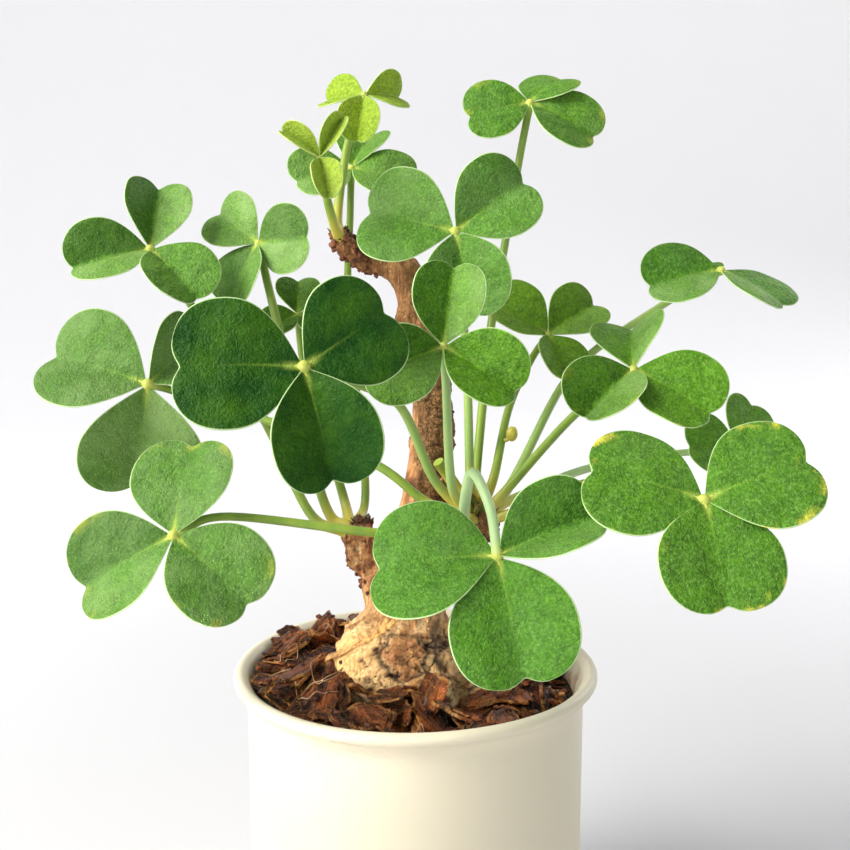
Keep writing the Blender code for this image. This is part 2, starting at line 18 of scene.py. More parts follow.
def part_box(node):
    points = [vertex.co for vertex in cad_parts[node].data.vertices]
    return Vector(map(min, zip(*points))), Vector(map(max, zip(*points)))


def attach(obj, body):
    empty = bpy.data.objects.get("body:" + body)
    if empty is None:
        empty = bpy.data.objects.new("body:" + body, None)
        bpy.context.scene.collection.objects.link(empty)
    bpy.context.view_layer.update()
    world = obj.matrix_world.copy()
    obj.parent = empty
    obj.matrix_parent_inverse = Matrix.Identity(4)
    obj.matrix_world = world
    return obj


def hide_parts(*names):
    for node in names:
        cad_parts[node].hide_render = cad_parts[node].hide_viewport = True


bl_info = {
    "name": "Potted oxalis megalorrhiza",
    "version": (1, 0, 0),
    "blender": (4, 5, 0),
    "location": "View3D > Sidebar > Oxalis",
    "description": "Models and finishes a potted oxalis on its packed solids",
    "category": "Object",
}

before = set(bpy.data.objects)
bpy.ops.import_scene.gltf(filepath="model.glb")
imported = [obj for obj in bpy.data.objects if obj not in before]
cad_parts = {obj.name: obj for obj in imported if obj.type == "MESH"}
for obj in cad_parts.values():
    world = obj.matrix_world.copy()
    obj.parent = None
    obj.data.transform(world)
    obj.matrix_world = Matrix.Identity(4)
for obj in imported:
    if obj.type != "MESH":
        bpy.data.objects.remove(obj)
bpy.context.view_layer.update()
# The far corner of the pot's box: its radius, twice, and its height
POT_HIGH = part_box("pot")[1]
BODY = "root"
MM = 0.001
UP = Vector((0, 0, 1))
# How close points have to be to be merged
WELD = 0.00001
FINE_WELD = 0.000001
# Turns in radians that a random draw covers, and the share of a turn that spreads pieces evenly
ANY_TURN = 6.28
GOLDEN_TURN = 0.618034
# How a noise gets finer: each layer's share of the one before it, how much finer it is, and how many
COARSE = (0.8, 2.0, 4)
FIRM = (0.9, 2.0, 4)
# A wave of noise holds a spot and the gap beside it
WAVES_PER_SPOT = 0.5


def linear(hex_colour):
    """Turns an sRGB hex colour into linear light."""
    shares = [int(hex_colour[place : place + 2], 16) / 255 for place in (1, 3, 5)]
    return tuple(share / 12.92 if share <= 0.04045 else ((share + 0.055) / 1.055) ** 2.4 for share in shares)


# The plant's form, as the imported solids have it

# The middles of the crowns that the stalks grow from
CROWNS = {
    "top": (-0.0128, 0.0015, 0.1378),
    "left": (-0.0115, 0.0025, 0.0850),
    "right": (0.0100, -0.0115, 0.0905),
}
# Heights of the main stem, with how far to the right its middle lies there
STEM_AXIS = (
    (0.0655, -0.0022),
    (0.0770, -0.0006),
    (0.0870, 0.0008),
    (0.0980, 0.0024),
    (0.1080, 0.0028),
    (0.1180, 0.0022),
    (0.1275, -0.0008),
)

# A leaf has its hub's place, its leaflets' length, the crown it grows from, the points its stalk passes,
# for each leaflet the clock angle and tilt of its midrib, its fold and its roll in degrees with its share
# of the length, and its tint: how light it is, how young, how far its margin has yellowed and how frosted,
# each from 0 to 1
Leaf = namedtuple("Leaf", "hub length crown route leaflets tint")
LEAVES = (
    Leaf(
        (-0.0087, 0.0020, 0.1625), 0.0092, "top",
        ((-0.0136, 0.0024, 0.1420), (-0.0117, 0.0025, 0.1540)),
        ((185, -34, 31, -10, 0.92), (363, -48, 43, 35, 0.96), (262, 18, 41, 0, 0.96)),
        (1.0, 0.75, 0.0, 0.0),
    ),
    Leaf(
        (-0.0155, -0.0090, 0.1510), 0.0085, "top",
        ((-0.0138, -0.0025, 0.1405), (-0.0147, -0.0065, 0.1450)),
        ((146, 2, 64, -1, 0.89), (60, -12, 67, 3, 0.91), (283, 27, 55, -6, 0.95)),
        (1.0, 1.0, 0.0, 0.3),
    ),
    Leaf(
        (-0.0118, 0.0140, 0.1510), 0.0120, "left",
        ((-0.0095, 0.0105, 0.0925), (-0.0125, 0.0130, 0.1250), (-0.0121, 0.0142, 0.1430)),
        ((196, 26, 19, -9, 0.96), (62, -46, 34, -7, 0.91), (342, 17, 22, 6, 0.98)),
        (0.6, 0.1, 0.0, 0.35),
    ),
    Leaf(
        (-0.0466, 0.0030, 0.1362), 0.0162, "left",
        ((-0.0190, 0.0005, 0.0895), (-0.0276, 0.0030, 0.1068), (-0.0399, 0.0040, 0.1265)),
        ((195, 25, 35, -1, 0.88), (90, -36, 39, 11, 0.85), (317, 25, 32, -9, 0.88)),
        (0.7, 0.05, 0.0, 0.2),
    ),
    Leaf(
        (-0.0283, 0.0080, 0.1374), 0.0120, "left",
        ((-0.0170, 0.0040, 0.0915), (-0.0250, 0.0055, 0.1240)),
        ((146, -33, 28, 9, 0.97), (6, 33, 17, 18, 0.98), (247, 16, 21, 8, 0.99)),
        (0.65, 0.05, 0.0, 0.35),
    ),
    Leaf(
        (-0.0221, 0.0140, 0.1243), 0.0075, "left",
        ((-0.0140, 0.0085, 0.0925), (-0.0207, 0.0145, 0.1130)),
        ((95, -44, 26, 3, 1.15), (208, 31, 29, 0, 1.00), (332, 21, 29, 0, 1.00)),
        (0.6, 0.15, 0.0, 0.0),
    ),
    Leaf(
        (-0.0152, -0.0410, 0.1198), 0.0180, "right",
        ((0.0030, -0.0150, 0.0990), (-0.0021, -0.0195, 0.1112), (-0.0083, -0.0255, 0.1155)),
        ((179, 11, 14, 10, 0.98), (33, -27, 11, -4, 0.85), (284, 3, 35, 4, 0.95)),
        (0.0, 0.0, 0.0, 0.0),
    ),
    Leaf(
        (-0.0447, -0.0100, 0.1139), 0.0184, "right",
        (
            (0.0015, -0.0120, 0.0945), (-0.0072, -0.0120, 0.1010),
            (-0.0260, -0.0080, 0.1078), (-0.0405, -0.0068, 0.1122),
        ),
        ((166, -15, 25, 13, 1.00), (258, -19, 23, 6, 1.12), (51, -53, 38, 6, 0.80)),
        (0.4, 0.0, 0.0, 0.5),
    ),
    Leaf(
        (-0.0371, -0.0280, 0.0924), 0.0174, "right",
        ((0.0030, -0.0165, 0.0903), (-0.0061, -0.0205, 0.0910), (-0.0295, -0.0240, 0.0945)),
        ((83, -35, 15, -4, 0.91), (211, -2, 27, 5, 0.98), (321, 17, 23, -21, 0.95)),
        (0.42, 0.0, 0.3, 0.42),
    ),
    Leaf(
        (0.0126, -0.0330, 0.0905), 0.0190, "right",
        ((0.0080, -0.0186, 0.0930), (0.0090, -0.0240, 0.1015), (0.0115, -0.0305, 0.0975)),
        ((189, -10, 12, 22, 1.01), (21, -5, 45, -14, 0.86), (283, 22, 25, -2, 1.00)),
        (0.75, 0.0, 0.0, 0.15),
    ),
    Leaf(
        (0.0428, -0.0350, 0.0995), 0.0177, "right",
        ((0.0160, -0.0150, 0.0930), (0.0273, -0.0170, 0.0983), (0.0360, -0.0265, 0.1005)),
        ((167, -9, 4, 15, 0.99), (20, -4, 8, -10, 0.95), (276, 37, 13, -7, 0.97)),
        (0.6, 0.05, 1.0, 0.08),
    ),
    Leaf(
        (0.0607, 0.0120, 0.0990), 0.0112, "right",
        ((0.0168, -0.0078, 0.0938), (0.0307, 0.0020, 0.0972), (0.0480, 0.0130, 0.0980)),
        ((172, 24, 18, -6, 1.07), (63, -36, 14, 13, 0.99), (291, 44, 23, 0, 1.00)),
        (1.0, 0.1, 0.2, 0.1),
    ),
    Leaf(
        (0.0365, -0.0100, 0.1163), 0.0150, "right",
        ((0.0145, -0.0145, 0.0960), (0.0266, -0.0100, 0.1085)),
        ((217, 37, 37, 0, 0.99), (330, 30, 26, 14, 1.03), (72, -65, 37, -19, 0.98)),
        (0.8, 0.1, 0.2, 0.0),
    ),
    Leaf(
        (0.0241, 0.0080, 0.1209), 0.0114, "right",
        ((0.0135, -0.0085, 0.0980), (0.0166, 0.0010, 0.1084), (0.0210, 0.0068, 0.1165)),
        ((150, -2, 29, 2, 1.07), (30, -27, 33, -2, 1.05), (289, 40, 30, -8, 0.92)),
        (1.0, 0.3, 0.0, 0.05),
    ),
    Leaf(
        (0.0546, 0.0060, 0.1325), 0.0145, "right",
        (
            (0.0162, -0.0112, 0.0972), (0.0255, 0.0020, 0.1113),
            (0.0322, 0.0070, 0.1179), (0.0463, 0.0095, 0.1270),
        ),
        ((192, 5, 22, -25, 0.95), (327, 36, 12, -8, 0.95), (169, -58, 10, 0, 0.42)),
        (0.6, 0.0, 0.0, 0.1),
    ),
    Leaf(
        (0.0198, 0.0030, 0.1612), 0.0128, "right",
        (
            (0.0105, -0.0075, 0.0985), (0.0130, -0.0020, 0.1220),
            (0.0157, 0.0030, 0.1370), (0.0180, 0.0040, 0.1508),
        ),
        ((193, 2, 12, -9, 0.87), (331, 10, 17, -5, 1.01), (39, -39, 9, -21, 0.80)),
        (0.65, 0.05, 0.3, 0.1),
    ),
    Leaf(
        (0.0067, -0.0090, 0.1391), 0.0150, "right",
        ((0.0092, -0.0118, 0.0990), (0.0089, -0.0100, 0.1120), (0.0084, -0.0085, 0.1215)),
        ((168, -19, 21, -2, 1.07), (35, -12, 24, 8, 0.98), (283, 15, 31, -4, 0.99)),
        (0.65, 0.0, 0.0, 0.3),
    ),
    Leaf(
        (0.0045, -0.0240, 0.1213), 0.0137, "right",
        ((0.0060, -0.0172, 0.0985), (0.0050, -0.0225, 0.1150)),
        ((82, -14, 38, -5, 0.94), (329, 15, 39, -3, 1.00), (199, 16, 36, -17, 0.99)),
        (0.8, 0.1, 0.0, 0.0),
    ),
)
# Leaflets whose halves differ from the rest of their leaf: the leaf's number and the leaflet's place in its
# row, with the clock angle that the first half lies towards and how frosted the two halves are, from 0 for
# bare and deep green to 1 for frosted. This is painted light: the frost on a half is a pale painted sheen,
# and a bare half is darkened with painted shade
PAINTED_HALF_LIGHT = {
    (3, 0): (270, 0.8, 0.5),
    (4, 0): (270, 0.95, 0.1),
    (4, 1): (0, 1.0, 0.1),
    (4, 2): (60, 0.5, 0.3),
    (5, 0): (90, 0.9, 0.7),
    (5, 1): (280, 0.9, 0.0),
    (5, 2): (0, 0.3, 0.1),
    (6, 0): (0, 0.8, 0.2),
    (8, 0): (270, 0.25, 0.4),
    (8, 1): (0, 0.9, 0.55),
    (9, 1): (270, 0.6, 0.0),
    (9, 2): (90, 0.6, 0.4),
    (10, 0): (100, 0.6, 0.4),
    (10, 1): (270, 0.7, 0.3),
    (11, 0): (90, 0.55, 0.45),
    (13, 0): (290, 1.0, 0.2),
    (13, 2): (0, 1.0, 0.4),
    (14, 1): (300, 0.9, 0.3),
    (15, 0): (270, 1.0, 0.3),
    (15, 1): (90, 0.3, 0.5),
    (16, 0): (90, 0.4, 0.3),
    (16, 1): (60, 0.7, 0.2),
    (17, 0): (90, 0.7, 0.45),
    (17, 1): (300, 0.6, 0.15),
    (17, 2): (180, 0.2, 0.6),
    (18, 0): (0, 1.0, 0.2),
    (18, 1): (90, 0.6, 0.4),
    (18, 2): (280, 0.8, 0.1),
}
# The points that the cut stalk passes
CUT_STALK_ROUTE = ((0.0062, -0.0100, 0.0975), (0.0039, -0.0115, 0.1010))

# A flat leaflet, in shares of its length
LEAFLET_START = (0.02, 0.025)
LEAFLET_FLANK = (0.08, 0.13)
LEAFLET_SHOULDER = (0.26, 0.57)
LEAFLET_WIDEST = (0.59, 0.56)
LEAFLET_CORNER = (0.84, 0.575)
LEAFLET_LOBE = (1.010, 0.26)
LOBE_TURN = (0.98, 0.43)
LEAFLET_NOTCH = 0.96
WIDEST_ROW = 0.56
NOTCH_BULGE = 0.034
# Its relief, in the same shares: the arch of the midrib, how far each half is cupped, how soft the crease
# and the line between two unlike halves are, and how high its waves are and how closely they lie
MIDRIB_ARCH = 0.05
HALF_CUP = 0.22
CREASE = 0.012
HALF_BLEND = 0.03
WAVE_RISE = 0.030
WAVE_COUNT = 2.6


# Settings that a user would change


def colour_setting(name, description, hex_colour):
    light = linear(hex_colour)
    return FloatVectorProperty(name=name, description=description, default=light, subtype="COLOR")


def size_setting(name, description, metres):
    return FloatProperty(name=name, description=description, default=metres, precision=5, unit="LENGTH")


def power_setting(name, description, watts):
    return FloatProperty(name=name, description=description, default=watts, precision=3, unit="POWER")


def count_setting(name, description, number, least=0):
    return IntProperty(name=name, description=description, default=number, min=least)


class PotSettings(bpy.types.PropertyGroup):
    """Sizes and colour of the pot."""

    wall: size_setting("Wall", "Thickness of the pot's wall", 0.0018)
    lip_round: size_setting("Lip", "Radius of the rolled lip", 0.0011)
    wobble: size_setting("Wobble", "How far the hand-finished rim strays", 0.00016)
    steps: count_setting("Steps", "Faces round the pot", 144, least=24)
    glaze: colour_setting("Glaze", "Colour of the matte glaze", "#d9d1b9")


class MulchSettings(bpy.types.PropertyGroup):
    """Amount and colours of the bark mulch."""

    flakes: count_setting("Flakes", "Number of large bark flakes", 104, least=1)
    edging: count_setting("Edging", "Number of small flakes along the pot's wall", 44)
    crumbs: count_setting("Crumbs", "Number of bark and soil crumbs", 150)
    rootlets: count_setting("Rootlets", "Number of pale fibres", 16)
    seed: count_setting("Seed", "Start of the random draw", 7)
    heart: colour_setting("Heart", "Colour of the flakes' broken faces", "#6c2f0e")
    dark: colour_setting("Dark", "Colour of the damp and weathered faces", "#120703")


class StemSettings(bpy.types.PropertyGroup):
    """Fineness and colours of the woody stem."""

    voxel: size_setting("Grain", "Width of the stem's finest faces", 0.00030)
    scars: count_setting("Scars", "Number of old stalk bases", 210)
    tan: colour_setting("Tan", "Colour of the papery bark", "#cf9860")
    brown: colour_setting("Brown", "Colour of the rough bark", "#6a4025")


class LeafSettings(bpy.types.PropertyGroup):
    """Fineness and colours of the leaves and stalks."""

    rows: count_setting("Rows", "Faces along a leaflet", 20, least=4)
    columns: count_setting("Columns", "Faces across a leaflet", 16, least=4)
    thickness: size_setting("Thickness", "Thickness of a blade", 0.00028)
    deep: colour_setting("Deep green", "Colour of the darkest blades", "#083d02")
    fresh: colour_setting("Fresh green", "Colour of the lighter blades", "#4b8c10")
    young: colour_setting("Young green", "Colour of the newest blades", "#abbf2e")
    stalk: colour_setting("Stalk green", "Colour of the stalks", "#8ea63f")


class StageSettings(bpy.types.PropertyGroup):
    """The camera, floor and lights."""

    lens: FloatProperty(name="Lens", description="Focal length", default=48.0, unit="CAMERA")
    paper: colour_setting("Paper", "Colour of the floor and backdrop", "#f6f6f8")
    key: power_setting("Key light", "Power of the window light", 14.2)
    fill: power_setting("Fill light", "Power of the fill light", 0.3)
    low: power_setting("Low light", "Power of the low light in front", 1.1)
    narrow: power_setting("Narrow light", "Power of the light on the base", 0.004)
    floor: power_setting("Floor light", "Power of the light behind", 1.9)
    wash: power_setting("Wall wash", "Power of the backdrop's own light", 2.5)
    sky: FloatProperty(name="Sky light", description="Strength of the light from all round", default=0.30)


# Mesh helpers


def deselect_all():
    bpy.ops.object.select_all(action="DESELECT")


def make_active(thing):
    deselect_all()
    thing.select_set(True)
    bpy.context.view_layer.objects.active = thing


def added(operator, **settings):
    """The object that one of Blender's operators adds."""
    deselect_all()
    operator(**settings)
    return bpy.context.object


@contextmanager
def all_selected(thing):
    """Edit mode with the whole mesh selected."""
    make_active(thing)
    bpy.ops.object.mode_set(mode="EDIT")
    bpy.ops.mesh.select_all(action="SELECT")
    yield
    bpy.ops.object.mode_set(mode="OBJECT")


def apply_modifier(thing, kind, **settings):
    """Adds one modifier with its settings and applies it."""
    make_active(thing)
    step = thing.modifiers.new(kind.title(), kind)
    for name, value in settings.items():
        setattr(step, name, value)
    bpy.ops.object.modifier_apply(modifier=step.name)


def copy_with_mesh(thing, name, place=None):
    """A copy with its own mesh, its place kept in the mesh."""
    mesh = thing.data.copy()
    if place is not None:
        mesh.transform(place)
    made = bpy.data.objects.new(name, mesh)
    bpy.context.scene.collection.objects.link(made)
    return made


def remove(*things):
    for thing in things:
        bpy.data.objects.remove(thing, do_unlink=True)


def join(things):
    make_active(things[0])
    for thing in things:
        thing.select_set(True)
    bpy.ops.object.join()
    return things[0]


def shade_smooth(thing, angle):
    """Smooth shading, with sharp edges where faces meet at more than an angle, if one is given."""
    make_active(thing)
    if angle is None:
        bpy.ops.object.shade_smooth()
    else:
        bpy.ops.object.shade_smooth_by_angle(angle=math.radians(angle))


def set_materials(piece, materials):
    piece.data.materials.clear()
    for material in materials:
        piece.data.materials.append(material)


def finish_piece(piece, name, materials=(), nodes=(), angle=None):
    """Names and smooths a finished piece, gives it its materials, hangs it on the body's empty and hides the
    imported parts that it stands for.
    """
    piece.name = name
    piece.data.name = name
    shade_smooth(piece, angle)
    if materials:
        set_materials(piece, materials)
    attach(piece, BODY)
    if nodes:
        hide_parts(*nodes)


def set_marks(mesh, name, values):
    """Stores four numbers a vertex, which the materials read."""
    marks = mesh.attributes.get(name) or mesh.attributes.new(name, "FLOAT_COLOR", "POINT")
    marks.data.foreach_set("color", np.asarray(values, dtype=np.float32).ravel())


def get_marks(mesh, name):
    values = np.empty(len(mesh.vertices) * 4, dtype=np.float32)
    mesh.attributes[name].data.foreach_get("color", values)
    return values.reshape(-1, 4)


def change_marks(mesh, name, channels):
    """Gives some channels of a mark one value all over."""
    values = get_marks(mesh, name)
    for channel, value in channels.items():
        values[:, channel] = value
    set_marks(mesh, name, values)


def places_of(mesh):
    values = np.empty(len(mesh.vertices) * 3, dtype=np.float32)
    mesh.vertices.foreach_get("co", values)
    return values.reshape(-1, 3)


def move_to(mesh, places):
    mesh.vertices.foreach_set("co", np.asarray(places, dtype=np.float32).ravel())
    mesh.update()


def surface_of(*names):
    """The faces of finished pieces, for rays to hit."""
    places, faces = [], []
    for name in names:
        mesh = bpy.data.objects[name].data
        faces += [[len(places) + corner for corner in face.vertices] for face in mesh.polygons]
        places += [vertex.co for vertex in mesh.vertices]
    return BVHTree.FromPolygons(places, faces)


def on_circle(reach, angle):
    return reach * math.cos(angle), reach * math.sin(angle)


def turned_to(x_axis, y_axis, z_axis):
    return Matrix((x_axis, y_axis, z_axis)).transposed().to_4x4()


def smoothstep(low, high, value):
    share = min(max((value - low) / (high - low), 0.0), 1.0)
    return share * share * (3.0 - 2.0 * share)


def read_table(steps, place):
    """A value between a table's rows, each a place and the value there."""
    for (low, near), (high, far) in zip(steps, steps[1:]):
        if place < high:
            return near + (far - near) * max((place - low) / (high - low), 0.0)
    return steps[-1][1]


def bell(away):
    """1 in the middle, falling to nothing in a soft curve."""
    return math.exp(-(away**2))


def spline_value(before, start, end, after, t):
    """The value of a smooth curve through four points, at share t of the way from start to end."""
    slope = end - before
    bend = 2 * before - 5 * start + 4 * end - after
    twist = 3 * start - before - 3 * end + after
    return 0.5 * (2 * start + slope * t + bend * t * t + twist * t**3)


def smooth_route(points, count):
    """Evenly spread points on a smooth curve through the given ones."""
    before_first = [2 * a - b for a, b in zip(points[0], points[1])]
    after_last = [2 * a - b for a, b in zip(points[-1], points[-2])]
    guide = [before_first, *points, after_last]
    spans = len(points) - 1
    route = []
    for index in range(count):
        place = spans * index / (count - 1)
        span = min(int(place), spans - 1)
        route.append([spline_value(*four, place - span) for four in zip(*guide[span : span + 4])])
    return route


def tube(places, radii, roundness=2):
    """A tapered tube with filled ends along the places."""
    curve = added(bpy.ops.curve.primitive_nurbs_path_add).data
    curve.splines.clear()
    curve.use_fill_caps = True
    curve.bevel_depth = 1.0
    curve.bevel_resolution = roundness
    spline = curve.splines.new("POLY")
    spline.points.add(len(places) - 1)
    for point, place, radius in zip(spline.points, places, radii):
        point.co = (*place, 1.0)
        point.radius = radius
    bpy.ops.object.convert(target="MESH")
    made = bpy.context.object
    with all_selected(made):
        bpy.ops.mesh.remove_doubles(threshold=FINE_WELD)
    return made


# Material helpers


def add_node(tree, kind, inputs=(), stops=(), **settings):
    """Adds a shader node. Inputs are values or the outputs that feed them, and stops are a ramp's colours."""
    made = tree.nodes.new(kind)
    for name, value in settings.items():
        setattr(made, name, value)
    for name, value in dict(inputs).items():
        if isinstance(value, bpy.types.NodeSocket):
            tree.links.new(value, made.inputs[name])
        else:
            made.inputs[name].default_value = value
    if stops:
        elements = made.color_ramp.elements
        while len(elements) < len(stops):
            elements.new(0.5)
        for element, (place, colour) in zip(elements, stops):
            element.position = place
            element.color = (*colour, 1.0)
    return made


def new_material(name, roughness, **sockets):
    """An empty finish, its tree and the place of every point in metres."""
    material = bpy.data.materials.new(name)
    material.use_nodes = True
    tree = material.node_tree
    shader = tree.nodes["Principled BSDF"]
    shader.inputs["Roughness"].default_value = roughness
    for socket, value in sockets.items():
        shader.inputs[socket.replace("_", " ")].default_value = value
    return material, tree, add_node(tree, "ShaderNodeTexCoord").outputs["Object"]


def spots(tree, place, size_mm, low, high, detail=2.0, stretch=(1, 1, 1), rough=0.5):
    """A noise whose spots are about size_mm wide, from 0 below low to 1 above high."""
    mapped = add_node(tree, "ShaderNodeMapping", {"Vector": place, "Scale": stretch}).outputs[0]
    scale = WAVES_PER_SPOT / (size_mm * MM)
    sockets = {"Vector": mapped, "Scale": scale, "Detail": detail, "Roughness": rough}
    wave = add_node(tree, "ShaderNodeTexNoise", sockets).outputs["Fac"]
    sockets = {"Value": wave, "From Min": low, "From Max": high}
    return add_node(tree, "ShaderNodeMapRange", sockets).outputs["Result"]


def share_of(tree, *factors):
    """Shares multiplied by each other. A share is a number, an output, or an output with the range that is
    turned smoothly into another, from 0 to 1 where no other is given."""
    product = None
    for factor in factors:
        if isinstance(factor, tuple):
            sockets = dict(zip(("Value", "From Min", "From Max", "To Min", "To Max"), factor))
            smooth = add_node(tree, "ShaderNodeMapRange", sockets, interpolation_type="SMOOTHSTEP")
            factor = smooth.outputs["Result"]
        if product is None:
            product = factor
        else:
            sockets = {0: product, 1: factor}
            product = add_node(tree, "ShaderNodeMath", sockets, operation="MULTIPLY").outputs[0]
    return product


def coated(tree, under, *coats):
    """Colours laid on each other. A coat is a colour, as hex, as linear light or as an output, followed by
    the shares that say how far it covers what is under it."""
    for over, *factors in coats:
        sockets = {0: share_of(tree, *factors)}
        for socket, layer in ((6, under), (7, over)):
            if isinstance(layer, str):
                layer = linear(layer)
            sockets[socket] = layer if isinstance(layer, bpy.types.NodeSocket) else (*layer, 1.0)
        under = add_node(tree, "ShaderNodeMix", sockets, data_type="RGBA").outputs[2]
    return under


def marks_of(tree, name):
    """The four channels of a mark that the piece's vertices hold."""
    read = add_node(tree, "ShaderNodeAttribute", attribute_name=name, attribute_type="GEOMETRY")
    split = add_node(tree, "ShaderNodeSeparateColor", {"Color": read.outputs["Color"]})
    return [*(split.outputs[channel] for channel in ("Red", "Green", "Blue")), read.outputs["Alpha"]]


def completed(material, colour, bumps=(), roughness=None):
    """Feeds a finish what it shows. Bumps are laid on each other, each a height and its depth in
    millimetres."""
    tree = material.node_tree
    normal = None
    for height, depth_mm in bumps:
        sockets = {"Height": height, "Distance": depth_mm * MM, "Strength": 1.0}
        if normal is not None:
            sockets["Normal"] = normal
        normal = add_node(tree, "ShaderNodeBump", sockets).outputs["Normal"]
    for socket, output in (("Base Color", colour), ("Roughness", roughness), ("Normal", normal)):
        if output is not None:
            tree.links.new(output, tree.nodes["Principled BSDF"].inputs[socket])
    return material


# Finishes

# Width in millimetres of the water cells that stand up from a leaf, a little coarser than real so that
# they show, and how closely the stem's sheets of bark, its ripples and its scales are spaced
PAPILLA = 0.34
TEAR = 2.6
RIPPLE = 0.9
BARK_SCALE = 0.85


def matte_glaze(pot):
    """Cream earthenware under a thin matte glaze: soft broad highlights, and damp stains inside the rim."""
    material, tree, place = new_material("matte glazed earthenware", 0.42, Specular_IOR_Level=0.4)
    damp = marks_of(tree, "glaze_marks")[0]
    cloud = spots(tree, place, 9.0, 0.35, 0.70)
    stain = spots(tree, place, 1.6, 0.42, 0.60, detail=4.0)
    colour = coated(tree, pot.glaze, ("#e2d9c1", cloud, 0.30), ("#a9713c", damp, stain, 0.75))
    bumps = [(spots(tree, place, 2.4, 0.0, 1.0), 0.04)]
    return completed(material, colour, bumps, share_of(tree, (cloud, 0.0, 1.0, 0.38, 0.50)))


def potting_soil():
    """Dark peat under the mulch, damp and crumbly."""
    material, tree, place = new_material("potting soil", 0.95)
    crumbs = spots(tree, place, 0.8, 0.3, 0.7, detail=5.0)
    fibres = spots(tree, place, 0.5, 0.66, 0.74, stretch=(1, 0.2, 1))
    colour = coated(tree, "#1a0f09", ("#3f281a", crumbs), ("#7b5a3b", fibres))
    return completed(material, colour, [(crumbs, 0.5), (spots(tree, place, 0.3, 0.2, 0.8), 0.12)])


def pine_bark(mulch):
    """Damp pine bark: dark outer faces, red-brown broken ones in thin layers, pale worn edges."""
    material, tree, place = new_material("damp pine bark", 0.60, Specular_IOR_Level=0.35)
    tone, dustiness, edge, _ = marks_of(tree, "flake_marks")
    along = add_node(tree, "ShaderNodeAttribute", attribute_name="flake_place").outputs["Vector"]
    patches = spots(tree, along, 2.4, 0.42, 0.60, detail=5.0, stretch=(0.5, 1, 1), rough=0.6)
    grain = spots(tree, along, 0.55, 0.45, 0.72, detail=6.0, stretch=(0.35, 1, 1), rough=0.65)
    fibres = spots(tree, along, 0.40, 0.52, 0.64, detail=4.0, stretch=(0.15, 1, 1))
    colour = coated(
        tree,
        coated(tree, mulch.dark, ("#48210f", tone)),
        (coated(tree, mulch.heart, ("#b8662c", tone)), patches),
        ("#120805", grain, 0.75),
        ("#b26c2c", fibres, 0.34),
        ("#cf9450", (edge, 0.80, 0.97), spots(tree, place, 1.4, 0.44, 0.58, detail=4.0), 0.80),
        ("#b08a58", dustiness, spots(tree, place, 1.1, 0.58, 0.70, detail=5.0), 0.40),
    )
    bumps = [(patches, 0.60), (grain, -0.45), (fibres, 0.18)]
    return completed(material, colour, bumps, share_of(tree, (patches, 0.0, 1.0, 0.26, 0.62)))


